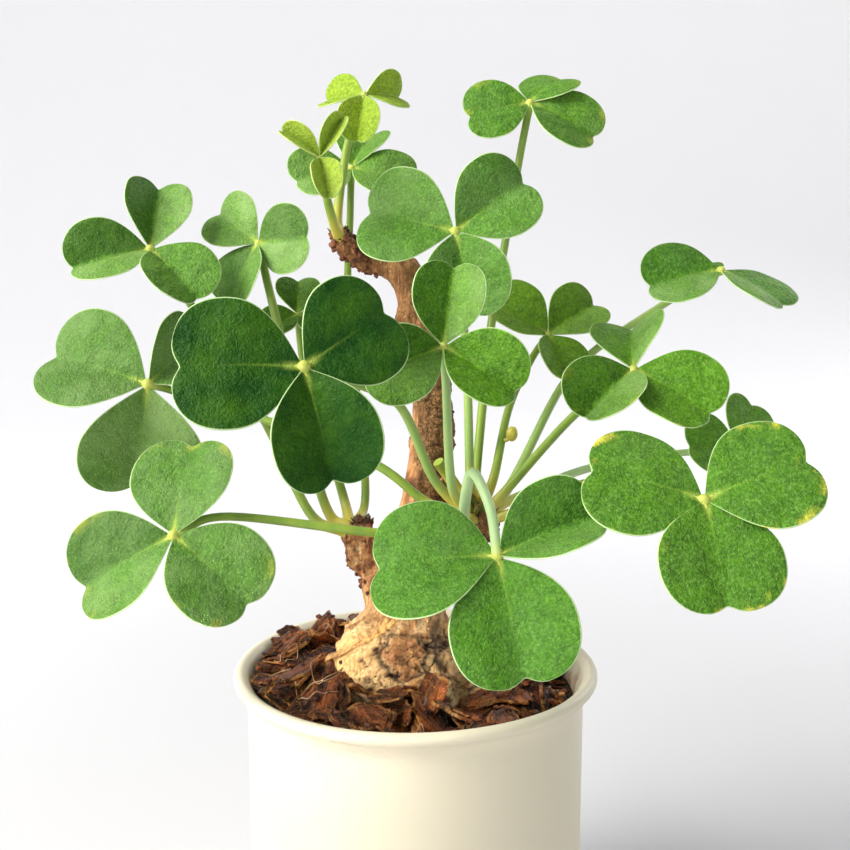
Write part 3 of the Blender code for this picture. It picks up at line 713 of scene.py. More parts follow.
def stem_bark(stem):
    """Corky stem bark: torn papery sheets on the swollen base, tan bark and dark cracked cork above."""
    material, tree, place = new_material("corky stem bark", 0.72, Specular_IOR_Level=0.35)
    brown, groove_shade, drift, _ = marks_of(tree, "bark_marks")
    cork, flaky, straw, bare = marks_of(tree, "bark_kinds")
    stops = (
        (0.0, linear("#f3cf9c")),
        (0.30, tuple(stem.tan)),
        (0.55, linear("#96623a")),
        (0.78, tuple(stem.brown)),
        (1.0, linear("#3c2215")),
    )
    fine = spots(tree, place, 0.45, 0.25, 0.75, detail=5.0)
    mixed = add_node(tree, "ShaderNodeMath", {0: brown, 1: share_of(tree, fine, 0.22)}, operation="ADD")
    shifted = add_node(tree, "ShaderNodeMath", {0: mixed.outputs[0], 1: 0.13}, operation="SUBTRACT")
    ramp = add_node(tree, "ShaderNodeValToRGB", {"Fac": shifted.outputs[0]}, stops=stops).outputs["Color"]
    sockets = {"Vector": place, "Scale": WAVES_PER_SPOT / (TEAR * MM), "Detail": 7.0, "Roughness": 0.62}
    tear = add_node(tree, "ShaderNodeTexNoise", {**sockets, "Distortion": 0.7}).outputs["Fac"]
    sheets = share_of(tree, tear, 13.0)
    layer = add_node(tree, "ShaderNodeMath", {0: sheets}, operation="FLOOR").outputs[0]
    ledge = add_node(tree, "ShaderNodeMath", {0: sheets}, operation="FRACT").outputs[0]
    tone = add_node(tree, "ShaderNodeMath", {0: share_of(tree, layer, 0.37)}, operation="FRACT").outputs[0]
    sockets = {"Vector": place, "Scale": WAVES_PER_SPOT / (RIPPLE * MM), "Detail": 3.0}
    ripple = add_node(tree, "ShaderNodeTexNoise", sockets).outputs["Color"]
    shift = add_node(tree, "ShaderNodeVectorMath", {0: ripple, 1: (MM, MM, MM)}, operation="MULTIPLY")
    sockets = {0: place, 1: shift.outputs[0]}
    warped = add_node(tree, "ShaderNodeVectorMath", sockets, operation="ADD").outputs[0]
    sockets = {"Vector": warped, "Scale": 1.0 / (BARK_SCALE * MM), "Randomness": 1.0}
    cracks = add_node(tree, "ShaderNodeTexVoronoi", sockets, feature="DISTANCE_TO_EDGE").outputs["Distance"]
    seams = share_of(tree, (cracks, 0.0, 0.13, 1.0, 0.0), spots(tree, place, 1.4, 0.36, 0.56))
    specks = spots(tree, place, 0.40, 0.60, 0.68, detail=3.0)
    strands = spots(tree, place, 0.25, 0.46, 0.62, detail=4.0, stretch=(1, 1, 0.10), rough=0.6)
    crumbs = spots(tree, place, 0.6, 0.35, 0.62, detail=4.0)
    corky = spots(tree, place, 0.7, 0.38, 0.62, detail=4.0)
    colour = coated(
        tree,
        ramp,
        (coated(tree, "#ffe0a2", ("#d68f50", tone)), flaky, 0.55),
        # Painted shadow: a dark line at the foot of each torn sheet's step, where the sheet above shades it
        ("#5c3520", flaky, (ledge, 0.86, 0.98, 0.0, 0.85)),
        # Painted highlight: a pale band along the raised edge of each torn sheet
        ("#ecd1a2", flaky, (ledge, 0.02, 0.22, 0.55, 0.0)),
        ("#f6d6a0", drift, 0.70),
        ("#7a4424", specks, drift, 0.8),
        (coated(tree, "#dba268", ("#9a623c", crumbs)), bare, 0.85),
        ("#fbd08a", straw, 0.90),
        ("#7a451f", strands, (flaky, 0.0, 1.0, 0.45, 0.15)),
        (coated(tree, "#76552f", ("#a57c4a", corky)), cork, 0.70),
        # Painted shade in the cork's cracks
        ("#38200f", seams, cork, 0.48),
        # Painted shade in the cracks and hollows of the bark's relief
        ("#2a0f06", groove_shade),
    )
    sheet_height = share_of(tree, layer, flaky)
    seam_depth = share_of(tree, seams, cork)
    bumps = [(fine, 0.14), (strands, -0.08), (sheet_height, 0.25), (seam_depth, -0.20), (specks, -0.06)]
    return completed(material, colour, bumps)


def papery_bark(stem):
    """Loose outer bark like dry paper: thin, straw coloured, with fine fibres."""
    material, tree, place = new_material("dry papery bark", 0.65, Specular_IOR_Level=0.35)
    fibres = spots(tree, place, 0.25, 0.40, 0.66, detail=4.0, stretch=(1, 1, 0.15))
    patches = spots(tree, place, 2.5, 0.50, 0.70, detail=4.0)
    colour = coated(tree, "#f0c27c", ("#b87a3c", fibres), (stem.brown, patches, 0.8))
    return completed(material, colour, [(fibres, 0.08), (patches, 0.10)])


def dead_stalk_base():
    """Corky old stalk bases, dark brown with near black tips."""
    material, tree, place = new_material("old stalk bases", 0.80, Specular_IOR_Level=0.3)
    tone, height, _, _ = marks_of(tree, "scar_marks")
    patches = spots(tree, place, 0.5, 0.4, 0.65, detail=4.0)
    colour = coated(tree, "#b47a58", ("#7c4630", tone), ("#54301f", patches), ("#22120d", height, 0.85))
    return completed(material, colour, [(spots(tree, place, 0.35, 0.2, 0.8, detail=4.0), 0.12)])


def leaf_face(leaf):
    """The upper face: a fleshy green blade whose tiny beads of water cells show a fine pale painted glitter.
    It runs from deep to fresh to young green; its frosted half has a pale painted sheen, its bare one painted
    shade."""
    material, tree, place = new_material(
        "leaf upper face",
        0.50,
        Specular_IOR_Level=0.15,
        Sheen_Weight=0.34,
        Sheen_Roughness=0.30,
        Sheen_Tint=(*linear("#aed070"), 1.0),
        Subsurface_Weight=0.08,
        Subsurface_Radius=(0.5, 1.0, 0.15),
        Subsurface_Scale=0.0010,
    )
    margin, rib, along, half = marks_of(tree, "leaf_marks")
    light, youth, age, frost_and_painted_sheen = marks_of(tree, "leaf_tint")
    cloud = spots(tree, place, 3.2, 0.34, 0.68, detail=3.0)
    mottle = spots(tree, place, 1.0, 0.45, 0.66, detail=4.0, rough=0.6)
    grain = spots(tree, place, 0.24, 0.36, 0.66, detail=1.5, rough=0.6)
    glints = spots(tree, place, 0.28, 0.48, 0.70, rough=0.7)
    yellowed = spots(tree, place, 1.7, 0.52, 0.64, detail=3.0)
    sockets = {"Vector": place, "Scale": 1.0 / (PAPILLA * MM), "Randomness": 1.0}
    cells = add_node(tree, "ShaderNodeTexVoronoi", sockets, feature="SMOOTH_F1").outputs["Distance"]
    papillae = share_of(tree, (cells, 0.05, 0.42, 1.0, 0.0))
    # The pale painted sheen of the frosted halves, added to the leaf's own frost
    painted_half_sheen = share_of(tree, (half, 0.5, 1.0, 0.0, 0.55))
    frost_and_painted_sheen = add_node(tree, "ShaderNodeMath", {0: frost_and_painted_sheen, 1: painted_half_sheen}, operation="ADD").outputs[0]
    colour = coated(
        tree,
        leaf.deep,
        (leaf.fresh, light),
        (leaf.young, youth),
        ("#649a16", cloud, 0.30, (youth, 0.1, 0.8, 1.0, 0.2)),
        (leaf.deep, mottle, (youth, 0.1, 0.8, 0.42, 0.10)),
        (leaf.deep, grain, 0.42),
        # Painted glints: pale flecks standing in for light catching the blade
        ("#93c25c", glints, (light, 0.0, 0.6, 0.04, 0.30)),
        # Painted shade: the bare half of a leaflet darkened towards deep green
        (leaf.deep, (half, 0.0, 0.5, 0.48, 0.0)),
        # The leaf's frost together with the pale painted sheen of its frosted halves
        ("#8fae68", frost_and_painted_sheen, (cloud, 0.0, 1.0, 0.80, 0.30)),
        # Painted glitter: the water cells coloured pale where light would catch them, more on frosted leaves
        ("#a8cc7c", papillae, (frost_and_painted_sheen, 0.0, 1.0, 0.13, 0.42), (light, 0.0, 0.4, 0.40, 1.0)),
        ("#8fb03c", (rib, 0.02, 0.34, 1.0, 0.0), (along, 0.05, 0.75, 0.42, 0.0)),
        ("#a3b850", (along, 0.05, 0.24, 0.85, 0.0), (rib, 0.0, 1.0, 1.0, 0.0)),
        ("#cfc94c", (margin, 0.2, 2.0, 1.0, 0.0), (along, 0.35, 0.75), yellowed, age),
        # Painted highlight: a pale band along the margin
        ("#b4d28c", (margin, 0.02, 0.16, 0.6, 0.0)),
    )
    bumps = [(spots(tree, place, 2.6, 0.30, 0.70), 0.45), (mottle, 0.10), (grain, -0.07), (papillae, 0.08)]
    return completed(material, colour, bumps, share_of(tree, (papillae, 0.0, 1.0, 0.56, 0.46)))


def leaf_back():
    """The under face, paler and duller than the upper one."""
    material, tree, place = new_material(
        "leaf under face",
        0.60,
        Specular_IOR_Level=0.35,
        Sheen_Weight=0.25,
        Sheen_Tint=(*linear("#dcefcf"), 1.0),
        Subsurface_Weight=0.10,
        Subsurface_Radius=(0.6, 1.0, 0.2),
        Subsurface_Scale=0.0012,
    )
    _, rib, along, _ = marks_of(tree, "leaf_marks")
    light, youth, _, _ = marks_of(tree, "leaf_tint")
    beads = spots(tree, place, 0.25, 0.45, 0.70)
    colour = coated(
        tree,
        "#3f7430",
        ("#659a4c", light),
        ("#a9c653", youth),
        ("#b5d39d", beads, 0.35),
        ("#bcd98a", (rib, 0.10, 0.45, 1.0, 0.0), (along, 0.05, 0.95, 0.9, 0.3)),
    )
    return completed(material, colour, [(beads, 0.04)])


def leaf_margin():
    """The blade's thin clear edge, coloured pale as a painted highlight along it."""
    material, tree, place = new_material("leaf margin", 0.35, Specular_IOR_Level=0.6)
    _, youth, age, _ = marks_of(tree, "leaf_tint")
    colour = coated(
        tree,
        "#c3dba2",
        ("#cfdc7a", youth),
        ("#9cc473", spots(tree, place, 1.1, 0.35, 0.65), 0.5),
        ("#dcd868", age, spots(tree, place, 1.7, 0.52, 0.64)),
    )
    return completed(material, colour)


def leaf_hub():
    """The pale yellow joint that the three leaflets spread from."""
    material, tree, place = new_material("leaf hub", 0.45, Specular_IOR_Level=0.4)
    colour = coated(tree, "#c9cc62", ("#a6b94c", spots(tree, place, 0.35, 0.35, 0.65)))
    return completed(material, colour, [(spots(tree, place, 0.3, 0.2, 0.8), 0.05)])


def green_stalk(leaf):
    """A juicy smooth stalk: pale green, yellower at its swollen foot, with faint lengthwise streaks."""
    material, tree, place = new_material(
        "green stalk",
        0.38,
        Specular_IOR_Level=0.45,
        Subsurface_Weight=0.15,
        Subsurface_Radius=(0.8, 1.0, 0.3),
        Subsurface_Scale=0.0010,
    )
    foot, head, paleness, _ = marks_of(tree, "stalk_marks")
    colour = coated(
        tree,
        leaf.stalk,
        ("#77963a", spots(tree, place, 1.2, 0.30, 0.70, stretch=(1, 1, 0.15))),
        ("#b7d59a", paleness, 0.9),
        ("#cdbf52", (foot, 1.5, 8.5, 0.90, 0.0)),
        ("#c5d66a", (head, 0.0, 3.0, 0.6, 0.0)),
    )
    return completed(material, colour, [(spots(tree, place, 0.3, 0.2, 0.8), 0.02)])


def bud_scale():
    """Small scales round the crowns, olive green turning brown and dry at their tips."""
    material, tree, place = new_material("crown scales", 0.55)
    height, tone, dryness, _ = marks_of(tree, "scale_marks")
    colour = coated(
        tree,
        "#8f9a3e",
        ("#6d7a2c", tone),
        ("#8a5a2c", (height, 0.45, 0.95)),
        (coated(tree, "#6b4023", ("#27150d", tone)), dryness),
        ("#5a4a20", spots(tree, place, 0.3, 0.45, 0.65, stretch=(1, 1, 0.2))),
    )
    return completed(material, colour, [(spots(tree, place, 0.3, 0.2, 0.8, stretch=(1, 1, 0.2)), 0.05)])


def pale_fibre():
    """Dry rootlets and bark fibres, straw coloured to near white."""
    material, tree, place = new_material("dry rootlets", 0.70)
    return completed(material, coated(tree, "#c9a882", ("#8d6540", spots(tree, place, 2.0, 0.35, 0.65))))


def backdrop_paper(stage):
    """Matte white paper swept up behind the plant, a little greyer where it lies flat."""
    material, tree, place = new_material("backdrop paper", 0.95, Specular_IOR_Level=0.1)
    reach = add_node(tree, "ShaderNodeVectorMath", {0: place}, operation="LENGTH").outputs["Value"]
    return completed(material, coated(tree, "#cdcdcf", (stage.paper, (reach, 0.10, 0.60))))


# Pot

# Its section in metres: the wall, the floor and the corner between them, the heights of the points up the
# inside and down the outside, the curves inside the lip and under it, and the rounding of the foot
WALL_RADIUS = 0.0304
FLOOR_TOP = 0.004
CORNER_ROUND = 0.002
INSIDE_HEIGHTS = (0.02, 0.035, 0.048, 0.054)
OUTSIDE_HEIGHTS = (0.048, 0.035, 0.02, 0.008, 0.003)
FLARE = ((0.0289, 0.0575), (0.0296, 0.0594), (0.0305, 0.0612))
NECK = ((0.0316, 0.0589), (0.0309, 0.0578), (0.0305, 0.0565))
FOOT_ROUND = ((0.0002, 0.0012), (0.0008, 0.0003), (0.0016, 0.0))
# The rim's slight waves: share, how many go round and where they start
RIM_BULGES = ((0.5, 2, 0.6), (0.3, 3, 2.1), (0.2, 5, 4.0))
RIM_RISES = ((1.0, 2, 3.9), (0.5, 4, 0.0))
RIM_FOOT = 0.054
RIM_HEIGHT = 0.006
RIM_RADIUS = 0.033
INNER_RADIUS = 0.03
DAMP_TOP = (0.0590, 0.0612)


def arc(centre, radius, start, step, count):
    """Places on a circle from a first angle on, in even steps, both in degrees."""
    angles = [math.radians(start + step * index) for index in range(count)]
    return [(centre[0] + radius * math.cos(angle), centre[1] + radius * math.sin(angle)) for angle in angles]


def pot_profile(pot):
    """Radius and height pairs from the axis, up the inside, over the lip and down the outside."""
    inside = WALL_RADIUS - pot.wall
    lip = (POT_HIGH[0] - pot.lip_round, POT_HIGH[2] - pot.lip_round)
    return [
        (0.0, FLOOR_TOP),
        *arc((inside - CORNER_ROUND, FLOOR_TOP + CORNER_ROUND), CORNER_ROUND, -90, 15, 7),
        *((inside, height) for height in INSIDE_HEIGHTS),
        *smooth_route([(inside, 0.0550), *FLARE], 9),
        *arc(lip, pot.lip_round, 140, -15.5, 15),
        *smooth_route([*NECK, (WALL_RADIUS, 0.0545)], 9),
        *((WALL_RADIUS, height) for height in OUTSIDE_HEIGHTS),
        *((WALL_RADIUS - inset, height) for inset, height in FOOT_ROUND),
        (0.0, 0.0),
    ]


def spin_profile(points, steps):
    """One point extruded along the profile, then spun round the axis."""
    made = added(bpy.ops.mesh.primitive_plane_add, size=MM)
    with all_selected(made):
        bpy.ops.mesh.merge(type="CENTER")
        bpy.ops.transform.translate(value=(points[0][0], 0.0, points[0][1]))
        for before, after in zip(points, points[1:]):
            move = (after[0] - before[0], 0.0, after[1] - before[1])
            bpy.ops.mesh.extrude_region_move(TRANSFORM_OT_translate={"value": move})
        bpy.ops.mesh.select_all(action="SELECT")
        bpy.ops.mesh.spin(steps=steps, angle=2 * math.pi, center=(0, 0, 0), axis=(0, 0, 1))
        bpy.ops.mesh.select_all(action="SELECT")
        bpy.ops.mesh.remove_doubles(threshold=WELD)
        bpy.ops.mesh.normals_make_consistent(inside=False)
    return made


def rim_waves(around, waves):
    return sum(share * np.sin(count * around + start) for share, count, start in waves)


def build_pot(pot):
    made = spin_profile(pot_profile(pot), pot.steps)
    marks = []
    for vertex in made.data.vertices:
        inward = -(vertex.normal.x * vertex.co.x + vertex.normal.y * vertex.co.y) / INNER_RADIUS
        damp = smoothstep(0.2, 0.6, inward) * (1.0 - smoothstep(*DAMP_TOP, vertex.co.z))
        marks.append((damp, 0.0, 0.0, 1.0))
    set_marks(made.data, "glaze_marks", marks)
    places = places_of(made.data)
    around = np.arctan2(places[:, 1], places[:, 0])
    stray = np.clip((places[:, 2] - RIM_FOOT) / RIM_HEIGHT, 0.0, 1.0) * pot.wobble
    outward = 1.0 + stray * (rim_waves(around, RIM_BULGES) - 1.0) / RIM_RADIUS
    places[:, 0] *= outward
    places[:, 1] *= outward
    places[:, 2] += stray * (rim_waves(around, RIM_RISES) - 1.5) * 0.6
    move_to(made.data, places)
    finish_piece(made, "cream_pot", [matte_glaze(pot)], ["pot"], angle=40)


# Mulch

# The dark bed: its middle's height, how far it rises and which way, the height and width of its lumps and
# of its crumbs, its radius, how many points are round it, and how many rings it has and how they narrow
BED_MIDDLE = 0.0582
BED_SLOPE = 0.0024
BED_RISE = (-0.92, 0.32)
BED_LUMPS = (0.0006, 0.007)
BED_CRUMBS = (0.0007, 0.0011)
BED_REACH = 0.0292
BED_POINTS = 96
BED_RINGS = 26
RING_SCALE = (0.90, 0.90, 1.0)
# Heights in the pot with the radius of its inside there
POT_INSIDE = ((0.050, 0.0284), (0.0560, 0.0285), (0.0594, 0.0294), (0.0612, 0.0303), (0.0640, 0.0312))
# The heap's grid of heights
CELL = 0.0005
CELLS = 132
# How many different flakes there are, and the faces of one along and across
FLAKE_MODELS = 9
FLAKE_GRID = (13, 9)
# A flake's sizes and those of its sheets in millimetres: half its length, its cup, twist and arch, the
# rise from sheet to sheet and their thickness
FLAKE_LENGTH = (5.0, 8.2)
FLAKE_CUP = (-2.0, 2.6)
FLAKE_TWIST = (-1.0, 1.0)
FLAKE_ARCH = (-0.9, 1.2)
SHEET_RISE = 0.42
SHEET_THICKNESS = (0.38, 0.60)
# In shares: its width, how far the sheet's own corners are cut and the broken ones reach, how far they
# stray round it, how far each higher sheet is shifted and what is left of it, and how ragged the edges are
FLAKE_WIDTH = (0.45, 0.78)
FLAKE_ROUNDING = 0.40
CORNER_REACH = (0.78, 1.12)
CORNER_STRAY = 0.28
SHEET_SHIFT = (0.22, 0.20)
SHEET_LEFT = (0.45, 0.95)
RAGGED = (0.08, 0.03)
# How far out the large flakes lie, how large the lower and the upper ones are, how far they tilt, and the
# share of their points that may sink in; then the same of the small flakes along the wall, with the arc
# they lie on in degrees
FLAKE_REACH = (0.0155, 0.0290)
LOWER_SCALE = (0.45, 1.0)
UPPER_SCALE = (0.6, 1.05)
LOWER_FLAKES = 60
FLAKE_TILT = 0.40
FLAKE_SINK = 0.70
EDGING_REACH = (0.0262, 0.0292)
EDGING_SCALE = (0.28, 0.46)
EDGING_TILT = 0.5
EDGING_SINK = 0.60
EDGING_ARC = (150, 245)
# Keeps the grain of each large flake apart from the others'
GRAIN_SHIFT = 0.011
# The steepest slope that a flake takes from what is under it, and the gap that it keeps to the wall
STEEPEST = 0.55
WALL_GAP = 0.0001
# Flakes that lean on the swollen base: middle, directions of their length and their face, size share, how
# orange they are and how dusty
LEANING_FLAKES = (
    ((0.0026, -0.0186, 0.0628), (0.45, 0.25, 0.84), (-0.42, -0.88, 0.35), 0.66, 1.0, 0.0),
    ((0.0098, -0.0166, 0.0612), (0.90, 0.10, 0.30), (-0.10, -0.85, 0.50), 0.42, 0.9, 1.0),
    ((-0.0035, -0.0205, 0.0600), (0.75, -0.25, 0.45), (-0.30, -0.60, 0.75), 0.55, 0.7, 0.2),
)
# Crumbs: how far out they lie, their radius in millimetres, how lumpy they are, how their height and
# length differ from it, and how far they sink in
CRUMB_REACH = 0.0285
CRUMB_RADIUS = (0.25, 0.80)
CRUMB_LUMPS = 0.45
CRUMB_HEIGHT = (0.45, 0.9)
CRUMB_LENGTH = (0.7, 1.6)
CRUMB_SINK = 0.2
# Rootlets: how far out they start, how far they may reach, their step, their height over the bark and
# their radius in millimetres
ROOTLET_REACH = (0.016, 0.025)
ROOTLET_LIMIT = 0.0275
ROOTLET_STEP = 0.0013
ROOTLET_STEPS = 9
ROOTLET_LIFT = (0.00018, 0.0005)
ROOTLET_RADIUS = (0.07, 0.17)
ABOVE_MULCH = 0.075


def bed_height(x, y):
    """The bed's surface: higher at the back left."""
    height, width = BED_LUMPS
    lean = (BED_RISE[0] * x + BED_RISE[1] * y) / 0.029
    return BED_MIDDLE + BED_SLOPE * lean + height * noise.noise(Vector((x, y, 0.3)) / width)


def mulch_bed(soil):
    """A crumbly disc that shows between the flakes."""
    ring = {"vertices": BED_POINTS, "radius": BED_REACH, "fill_type": "NOTHING"}
    made = added(bpy.ops.mesh.primitive_circle_add, **ring)
    with all_selected(made):
        for _ in range(BED_RINGS):
            bpy.ops.mesh.extrude_region_move()
            bpy.ops.transform.resize(value=RING_SCALE)
        bpy.ops.mesh.merge(type="CENTER")
        bpy.ops.mesh.select_all(action="SELECT")
        bpy.ops.mesh.normals_make_consistent(inside=False)
    height, width = BED_CRUMBS
    places = places_of(made.data)
    for place in places:
        x, y = float(place[0]), float(place[1])
        place[2] = bed_height(x, y) + height * noise.fractal(Vector((x, y, 0.0)) / width, *COARSE)
    move_to(made.data, places)
    if made.data.polygons[0].normal.z < 0:
        made.data.flip_normals()
    finish_piece(made, "mulch_bed", [soil])


def polygon_reach(corners, angle):
    """How far a polygon reaches from its middle at an angle. Corners are angles and reaches in order."""
    angle = (angle - corners[0][0]) % (2 * math.pi) + corners[0][0]
    closed = [*corners, (corners[0][0] + 2 * math.pi, corners[0][1])]
    for (start, near), (end, far) in zip(closed, closed[1:]):
        if angle <= end:
            across = near * math.sin(angle - start) + far * math.sin(end - angle)
            return near * far * math.sin(end - start) / across
    return closed[-1][1]


def flake_sheet(draw, number, layer, corners, size, bend):
    """One layer of a flake: a thin bent sheet with broken edges."""
    columns, rows = FLAKE_GRID
    made = added(bpy.ops.mesh.primitive_grid_add, x_subdivisions=columns, y_subdivisions=rows, size=2)
    length, width = size
    cup, twist, arch = bend
    shift = [draw.uniform(-most, most) * layer for most in SHEET_SHIFT]
    if layer:
        corners = sorted(
            (angle + draw.uniform(-0.3, 0.3), reach * draw.uniform(*SHEET_LEFT)) for angle, reach in corners
        )
    marks = []
    for vertex in made.data.vertices:
        u, v = vertex.co.x, vertex.co.y
        x = u * math.sqrt(1 - FLAKE_ROUNDING * v * v)
        y = v * math.sqrt(1 - FLAKE_ROUNDING * u * u)
        edge = max(abs(u), abs(v))
        marks.append((0.0, 0.0, edge, 1.0))
        ragged = RAGGED[0] * noise.noise(Vector((x * 4, y * 4, number * 3.1 + layer)))
        ragged += RAGGED[1] * noise.noise(Vector((x * 14, y * 14, number + 9.1 * layer)))
        shrink = (polygon_reach(corners, math.atan2(y, x)) + ragged) * edge + (1 - edge)
        x = x * shrink + shift[0]
        y = y * shrink + shift[1]
        ridge = noise.noise(Vector((x * length / (7 * MM), y * width / (0.9 * MM), number)))
        rough = noise.fractal(Vector((x * 4, y * 4, number + layer)), *COARSE)
        height = cup * y * y + twist * x * y + arch * x * x + (0.14 * ridge + 0.26 * rough) * MM
        vertex.co = (x * length, y * width, height + layer * SHEET_RISE * MM)
    set_marks(made.data, "flake_marks", marks)
    set_marks(made.data, "flake_place", [(*vertex.co, 1.0) for vertex in made.data.vertices])
    thickness = draw.uniform(*SHEET_THICKNESS) * MM
    apply_modifier(made, "SOLIDIFY", thickness=thickness, offset=0.0, use_even_offset=False)
    return made


def model_flake(draw, number):
    """One broken flake of bark in two or three layers, lying flat."""
    count = draw.choice((5, 6, 6, 7))
    corners = []
    for index in range(count):
        angle = 2 * math.pi * (index + draw.uniform(-CORNER_STRAY, CORNER_STRAY)) / count
        corners.append((angle, draw.uniform(*CORNER_REACH)))
    length = draw.uniform(*FLAKE_LENGTH) * MM
    size = (length, length * draw.uniform(*FLAKE_WIDTH))
    bend = [draw.uniform(*limits) * MM for limits in (FLAKE_CUP, FLAKE_TWIST, FLAKE_ARCH)]
    layers = draw.choice((2, 2, 3))
    sheets = [flake_sheet(draw, number, layer, corners, size, bend) for layer in range(layers)]
    return join(sheets)


class Heap:
    """The mulch's surface as heights on a square grid, raised by each flake that is laid on it."""

    def __init__(self):
        line = (np.arange(CELLS) - CELLS / 2) * CELL
        self.heights = np.array([[bed_height(x, y) for y in line] for x in line])

    def cells(self, places):
        index = np.rint(places[:, :2] / CELL + CELLS / 2).astype(int)
        return np.clip(index, 1, CELLS - 2)

    def at(self, places):
        index = self.cells(places)
        return self.heights[index[:, 0], index[:, 1]]

    def raise_to(self, places):
        index = self.cells(places)
        for step_x in (-1, 0, 1):
            for step_y in (-1, 0, 1):
                np.maximum.at(self.heights, (index[:, 0] + step_x, index[:, 1] + step_y), places[:, 2])


def lay_flake(model, heap, centre, turn, scale, tilt, sink):
    """Turns a flake to lie on what is under it, inside the pot. Returns its place as a matrix."""
    flat = places_of(model.data) * scale
    around = np.array(Matrix.Rotation(turn, 3, "Z"))
    spread = flat @ around.T
    spread[:, 0] += centre[0]
    spread[:, 1] += centre[1]
    under = heap.at(spread)
    system = np.column_stack([spread[:, 0] - centre[0], spread[:, 1] - centre[1], np.ones(len(spread))])
    slope_x, slope_y, level = np.linalg.lstsq(system, under, rcond=None)[0]
    steep = math.hypot(slope_x, slope_y)
    ease = min(1.0, STEEPEST / steep) if steep > 0 else 1.0
    normal = Vector((-slope_x * ease + tilt[0], -slope_y * ease + tilt[1], 1.0)).normalized()
    lean = UP.rotation_difference(normal).to_matrix()
    turned = flat @ (np.array(lean) @ around).T
    gaps = under - (turned[:, 2] + level)
    lift = float(np.quantile(gaps, sink))
    place = np.array([centre[0], centre[1], level + lift])
    for _ in range(4):
        world = turned + place
        reach = np.hypot(world[:, 0], world[:, 1])
        room = np.array([read_table(POT_INSIDE, z) for z in world[:, 2]])
        excess = float((reach - room).max())
        if excess <= 0:
            break
        out = Vector((place[0], place[1], 0)).normalized()
        place[0] -= out.x * (excess + WALL_GAP)
        place[1] -= out.y * (excess + WALL_GAP)
    heap.raise_to(turned + place)
    matrix = (lean @ Matrix.Rotation(turn, 3, "Z")).to_4x4() @ Matrix.Scale(scale, 4)
    return Matrix.Translation(place) @ matrix


def strew_flake(draw, heap, models, centre, steepness, sink, scale=None):
    """Lays a flake at a place, turned, tilted and tinted by chance. Without a scale it is a small one."""
    tilt = (draw.uniform(-steepness, steepness), draw.uniform(-steepness, steepness))
    model = draw.choice(models)
    turn = draw.uniform(0, ANY_TURN)
    scale = scale or draw.uniform(*EDGING_SCALE)
    flake = copy_with_mesh(model, "flake", lay_flake(model, heap, centre, turn, scale, tilt, sink))
    change_marks(flake.data, "flake_marks", {0: draw.random() ** 1.6, 1: draw.random()})
    return flake


def build_mulch(mulch):
    """Large flakes laid one on another, with small ones along the wall and crumbs between them."""
    draw = random.Random(mulch.seed)
    mulch_bed(potting_soil())
    models = [model_flake(draw, number) for number in range(FLAKE_MODELS)]
    heap = Heap()
    large, small = [], []
    for number in range(mulch.flakes):
        around = 2 * math.pi * ((number * GOLDEN_TURN) % 1.0)
        centre = on_circle(draw.uniform(*FLAKE_REACH), around)
        scale = draw.uniform(*(LOWER_SCALE if number < LOWER_FLAKES else UPPER_SCALE))
        flake = strew_flake(draw, heap, models, centre, FLAKE_TILT, FLAKE_SINK, scale)
        values = get_marks(flake.data, "flake_place")
        values[:, 0:3] += (GRAIN_SHIFT * number, 0.0, 0.0)
        set_marks(flake.data, "flake_place", values)
        large.append(flake)
    start, length = EDGING_ARC
    for number in range(mulch.edging):
        around = math.radians(start + length * (number + draw.uniform(-0.3, 0.3)) / mulch.edging)
        centre = on_circle(draw.uniform(*EDGING_REACH), around)
        small.append(strew_flake(draw, heap, models, centre, EDGING_TILT, EDGING_SINK))
    laid = mulch.flakes + mulch.edging
    for number, (middle, along, facing, scale, tone, dust) in enumerate(LEANING_FLAKES, laid):
        along = Vector(along).normalized()
        across = Vector(facing).cross(along).normalized()
        turn = turned_to(along, across, along.cross(across))
        matrix = Matrix.Translation(middle) @ turn @ Matrix.Scale(scale, 4)
        flake = copy_with_mesh(models[number % len(models)], "leaning_flake", matrix)
        change_marks(flake.data, "flake_marks", {0: tone, 1: dust})
        large.append(flake)
    small += mulch_crumbs(mulch, draw, heap)
    remove(*models)
    bark = pine_bark(mulch)
    for pieces, name, nodes in ((large, "bark_flakes", ["bark_mulch"]), (small, "bark_crumbs", [])):
        finish_piece(join(pieces), name, [bark], nodes, angle=38)


def mulch_crumbs(mulch, draw, heap):
    """Small broken bits that fill the gaps."""
    model = added(bpy.ops.mesh.primitive_ico_sphere_add, subdivisions=1, radius=1.0)
    with all_selected(model):
        bpy.ops.mesh.subdivide(number_cuts=1, smoothness=0.6)
    crumbs = []
    for number in range(mulch.crumbs):
        reach = CRUMB_REACH * math.sqrt(draw.uniform(0.16, 1.0))
        x, y = on_circle(reach, draw.uniform(0, 2 * math.pi))
        size = draw.uniform(*CRUMB_RADIUS) * MM
        level = float(heap.at(np.array([[x, y, 0.0]]))[0]) - CRUMB_SINK * size
        crumb = copy_with_mesh(model, "crumb")
        places = places_of(crumb.data)
        for place in places:
            place *= size * (1 + CRUMB_LUMPS * noise.noise(Vector(place) * 1.7 + Vector((number, 0, 0))))
        places[:, 2] *= draw.uniform(*CRUMB_HEIGHT)
        places[:, 0] *= draw.uniform(*CRUMB_LENGTH)
        places = places @ np.array(Matrix.Rotation(draw.uniform(0, ANY_TURN), 3, "Z")).T
        pull = min(1.0, (read_table(POT_INSIDE, level) - 1.7 * size) / reach)
        places += np.array([x * pull, y * pull, level])
        move_to(crumb.data, places)
        marks = np.zeros((len(places), 4))
        marks[:, 0] = draw.random() ** 2
        marks[:, 2] = draw.uniform(0.2, 0.95)
        set_marks(crumb.data, "flake_marks", marks)
        marks[:, 0:3] = places
        set_marks(crumb.data, "flake_place", marks)
        crumbs.append(crumb)
    remove(model)
    return crumbs


